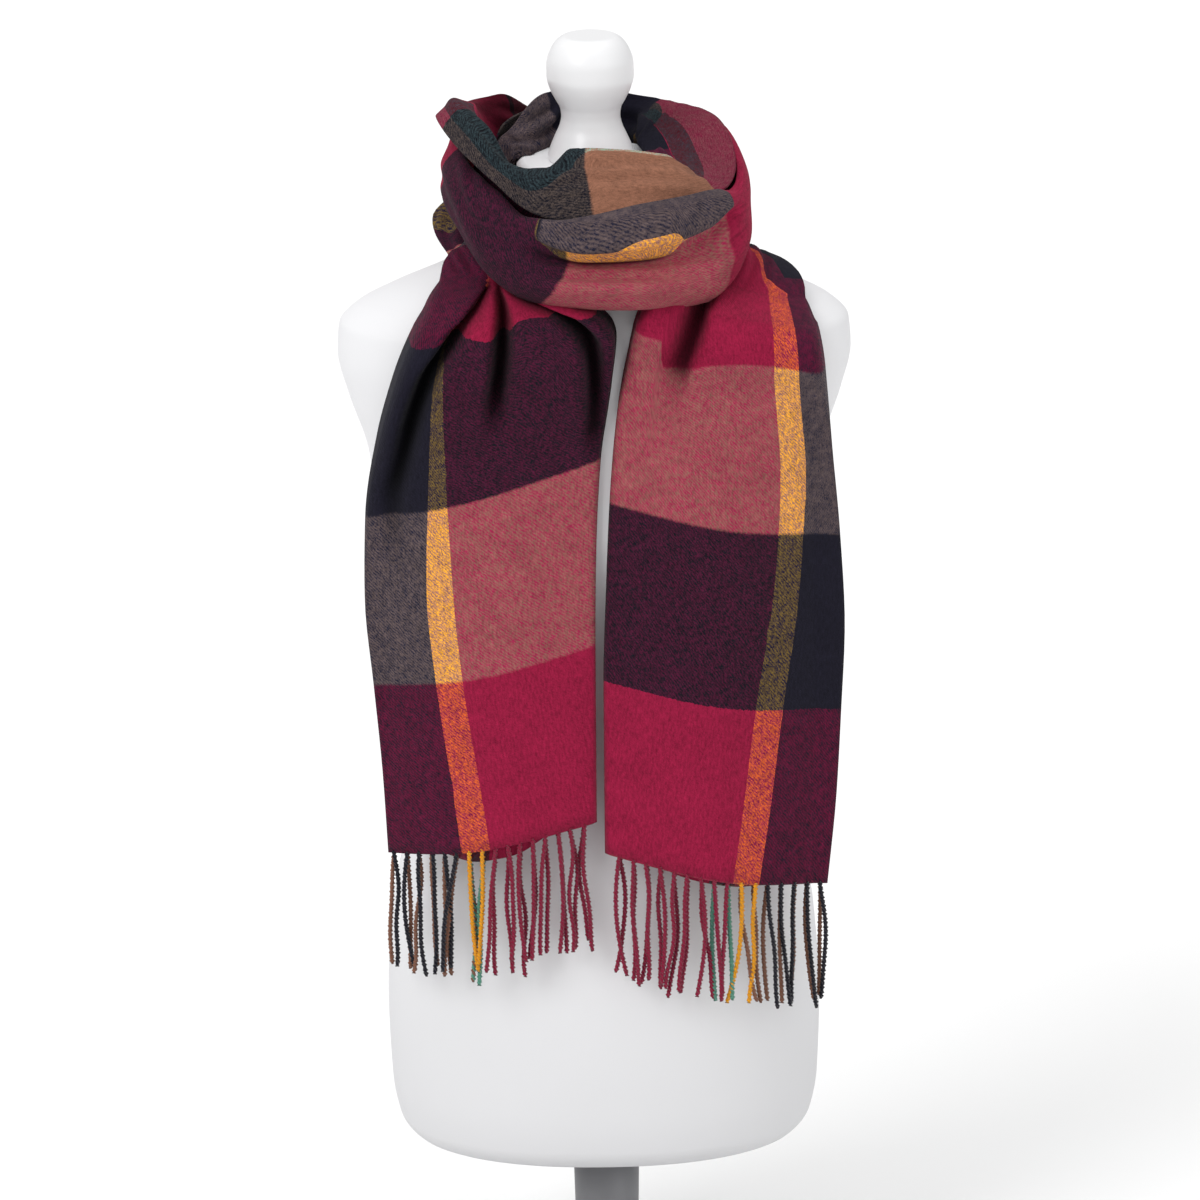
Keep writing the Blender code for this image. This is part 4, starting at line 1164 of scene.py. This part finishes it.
def cap_faces(start, steps, sides):
    """Quads that close both ends of one strand, as strips across its ring."""
    half = np.arange(sides // 2 - 1)
    top = np.stack([half, sides - 1 - half, sides - 2 - half, half + 1], axis=-1)
    foot = top[:, ::-1] + (steps - 1) * sides
    return np.concatenate([top, foot]) + start


class FORM_OT_body(bpy.types.Operator):
    """The limbless body under its plain stretch cover"""

    bl_idname = "form.body"
    bl_label = "Form body"

    def execute(self, context):
        form = context.scene.form
        points = body_points(form.sides)
        rows, sides = points.shape[:2]
        faces = grid_faces(rows, sides, closed=True)
        mesh = mesh_of("form_cover", points.reshape(-1, 3), faces[:, ::-1])
        mesh.materials.append(cover_material(form))
        put("form_cover", mesh, "torso")
        return {"FINISHED"}


def body_points(sides):
    """Rings of points down the body: its superellipse sections with the bust on them, closed at both
    ends by rings that shrink to the middle."""
    shoulders, trunk, foot_edge = (0, -0.16, 90), (-0.163, -0.70, 110), (-0.703, -0.748, 40)
    levels = np.concatenate([np.linspace(*part) for part in (shoulders, trunk, foot_edge)])
    section = body_section(levels)
    angle = np.arange(sides) * 2 * pi / sides
    wide, deep = np.sin(angle), -np.cos(angle)
    power = 2 / section[:, 3, None]
    side = section[:, 0, None] * np.sign(wide) * np.abs(wide) ** power
    reach = np.where(deep < 0, section[:, 1, None], section[:, 2, None])
    depth = reach * np.sign(deep) * np.abs(deep) ** power
    level = np.broadcast_to(levels[:, None], side.shape)
    depth = depth - bust(side, level) * np.clip(-deep, 0, 1) ** 0.5
    points = np.stack([side, depth, level + NECK_TOP], axis=-1)
    shrink = np.array([0.0005, 0.5, 0.9, 0.97])[:, None, None]
    centre = np.array([1, 1, 0])
    top = points[:1] * np.where(centre, shrink, 1)
    foot = points[-1:] * np.where(centre, shrink[::-1], 1)
    return np.concatenate([top, points, foot])


def turned(name, profile, bottom, steps, node, material):
    """A turned piece: its smoothed profile carried round the upright axis."""
    profile = np.array(profile)
    angle = np.arange(steps) * 2 * pi / steps
    radius, height = np.maximum(profile[:, 0, None], 1e-5), profile[:, 1, None] + bottom
    level = np.broadcast_to(height, (len(profile), steps))
    points = np.stack([radius * np.sin(angle), -radius * np.cos(angle), level], axis=-1)
    mesh = mesh_of(name, points.reshape(-1, 3), grid_faces(len(profile), steps, closed=True)[:, ::-1])
    mesh.materials.append(material)
    return put(name, mesh, node)


def smoothed(profile, each=6):
    """More points on a profile: a smooth curve through those that it has, by their distance along it."""
    profile = np.array(profile)
    length = np.concatenate([[0], np.cumsum(np.linalg.norm(np.diff(profile, axis=0), axis=1))])
    wanted = np.interp(np.arange((len(profile) - 1) * each + 1) / each, np.arange(len(profile)), length)
    return through(length, profile, wanted)


class FORM_OT_stand(bpy.types.Operator):
    """The turned neck cap, the pole and the round base"""

    bl_idname = "form.stand"
    bl_label = "Neck cap and stand"

    def execute(self, context):
        form = context.scene.form
        turned("turned_neck_cap", smoothed(CAP), NECK_TOP, 72, "neck_cap", lacquer_material(form))
        metal = metal_material(form)
        top, foot = BODY_BOTTOM - SEAT, BASE_THICK + SEAT
        pole = [(0, top - foot), (POLE_TOP_RADIUS, top - foot), (POLE_FOOT_RADIUS, 0), (0, 0)]
        turned("stand_pole_satin", pole, foot, 56, "stand_pole", metal)
        base = [
            (0, BASE_THICK),
            (BASE_RADIUS - 0.010, BASE_THICK),
            (BASE_RADIUS - 0.003, BASE_THICK - 0.003),
            (BASE_RADIUS, BASE_THICK - 0.010),
            (BASE_RADIUS, 0.002),
            (BASE_RADIUS - 0.002, 0),
            (0, 0),
        ]
        turned("stand_base_satin", base, 0, 96, "stand_base", metal)
        return {"FINISHED"}


class STUDIO_OT_stage(bpy.types.Operator):
    """A pale floor, soft lights and the camera"""

    bl_idname = "studio.stage"
    bl_label = "Studio"

    def execute(self, context):
        studio = context.scene.studio
        scene = context.scene
        floor_faces = np.array([[0, 1, 2, 3]])
        corners = np.array([[-9, -9, 0], [9, -9, 0], [9, 9, 0], [-9, 9, 0]], float)
        floor = mesh_of("floor", corners, floor_faces)
        g = Graph("pale floor")
        floor.materials.append(g.finish((0.93, 0.93, 0.93), 0.9, []))
        ground = bpy.data.objects.new("floor", floor)
        scene.collection.objects.link(ground)
        world = bpy.data.worlds.new("studio")
        world.use_nodes = True
        world.node_tree.nodes["Background"].inputs[0].default_value = (1, 1, 1, 1)
        world.node_tree.nodes["Background"].inputs[1].default_value = 0.55
        scene.world = world
        target = Vector((0, 0, 0.62))
        suns = [
            ("key", (-2.2, -2.6, 3.4), 1.15, 28),
            ("fill", (2.4, -2.6, 2.4), 0.35, 50),
            ("top", (0.0, 0.2, 3.2), 1.1, 70),
        ]
        for name, where, power, spread in suns:
            light = bpy.data.lights.new(name, "SUN")
            light.energy, light.angle = power, radians(spread)
            lamp = bpy.data.objects.new(name, light)
            lamp.location = where
            lamp.rotation_euler = (target - Vector(where)).to_track_quat("-Z", "Y").to_euler()
            scene.collection.objects.link(lamp)
        camera = bpy.data.cameras.new("camera")
        camera.sensor_width = SENSOR
        camera.lens = SENSOR * studio.distance / studio.view
        eye = bpy.data.objects.new("camera", camera)
        look = Vector((0, np.cos(studio.elevation), -np.sin(studio.elevation)))
        upright = look.to_track_quat("-Z", "Y").to_matrix()
        centre = Vector((0, 0, NECK_TOP)) + upright @ Vector((studio.right, -studio.below, 0))
        eye.location = centre - look * studio.distance
        eye.rotation_euler = (upright @ Matrix.Rotation(-studio.roll, 3, "Z")).to_euler()
        scene.collection.objects.link(eye)
        scene.view_settings.view_transform = "Standard"
        scene.camera = eye
        return {"FINISHED"}


class SCARF_PT_panel(bpy.types.Panel):
    """The steps that dress the form, in order"""

    bl_label = "Checked scarf"
    bl_idname = "SCARF_PT_panel"
    bl_space_type = "VIEW_3D"
    bl_region_type = "UI"
    bl_category = "Scarf"

    def draw(self, context):
        for step in STEPS:
            self.layout.operator(step.bl_idname)
        for group in (context.scene.scarf, context.scene.yarns, context.scene.form, context.scene.studio):
            box = self.layout.box()
            for name in group.__annotations__:
                box.prop(group, name)


STEPS = (SCARF_OT_cloth, SCARF_OT_fringes, FORM_OT_body, FORM_OT_stand, STUDIO_OT_stage)
GROUPS = {"scarf": ScarfSettings, "yarns": YarnSettings, "form": FormSettings, "studio": StudioSettings}


def register():
    for kind in (*GROUPS.values(), *STEPS, SCARF_PT_panel):
        bpy.utils.register_class(kind)
    for name, group in GROUPS.items():
        setattr(bpy.types.Scene, name, PointerProperty(type=group))


def unregister():
    for name in GROUPS:
        delattr(bpy.types.Scene, name)
    for kind in (SCARF_PT_panel, *reversed(STEPS), *GROUPS.values()):
        bpy.utils.unregister_class(kind)


def main():
    register()
    for name in ("Cube", "Light", "Camera"):
        if name in bpy.data.objects:
            bpy.data.objects.remove(bpy.data.objects[name], do_unlink=True)
    bpy.ops.scarf.cloth()
    bpy.ops.scarf.fringes()
    bpy.ops.form.body()
    bpy.ops.form.stand()
    bpy.ops.studio.stage()


if __name__ == "__main__":
    main()
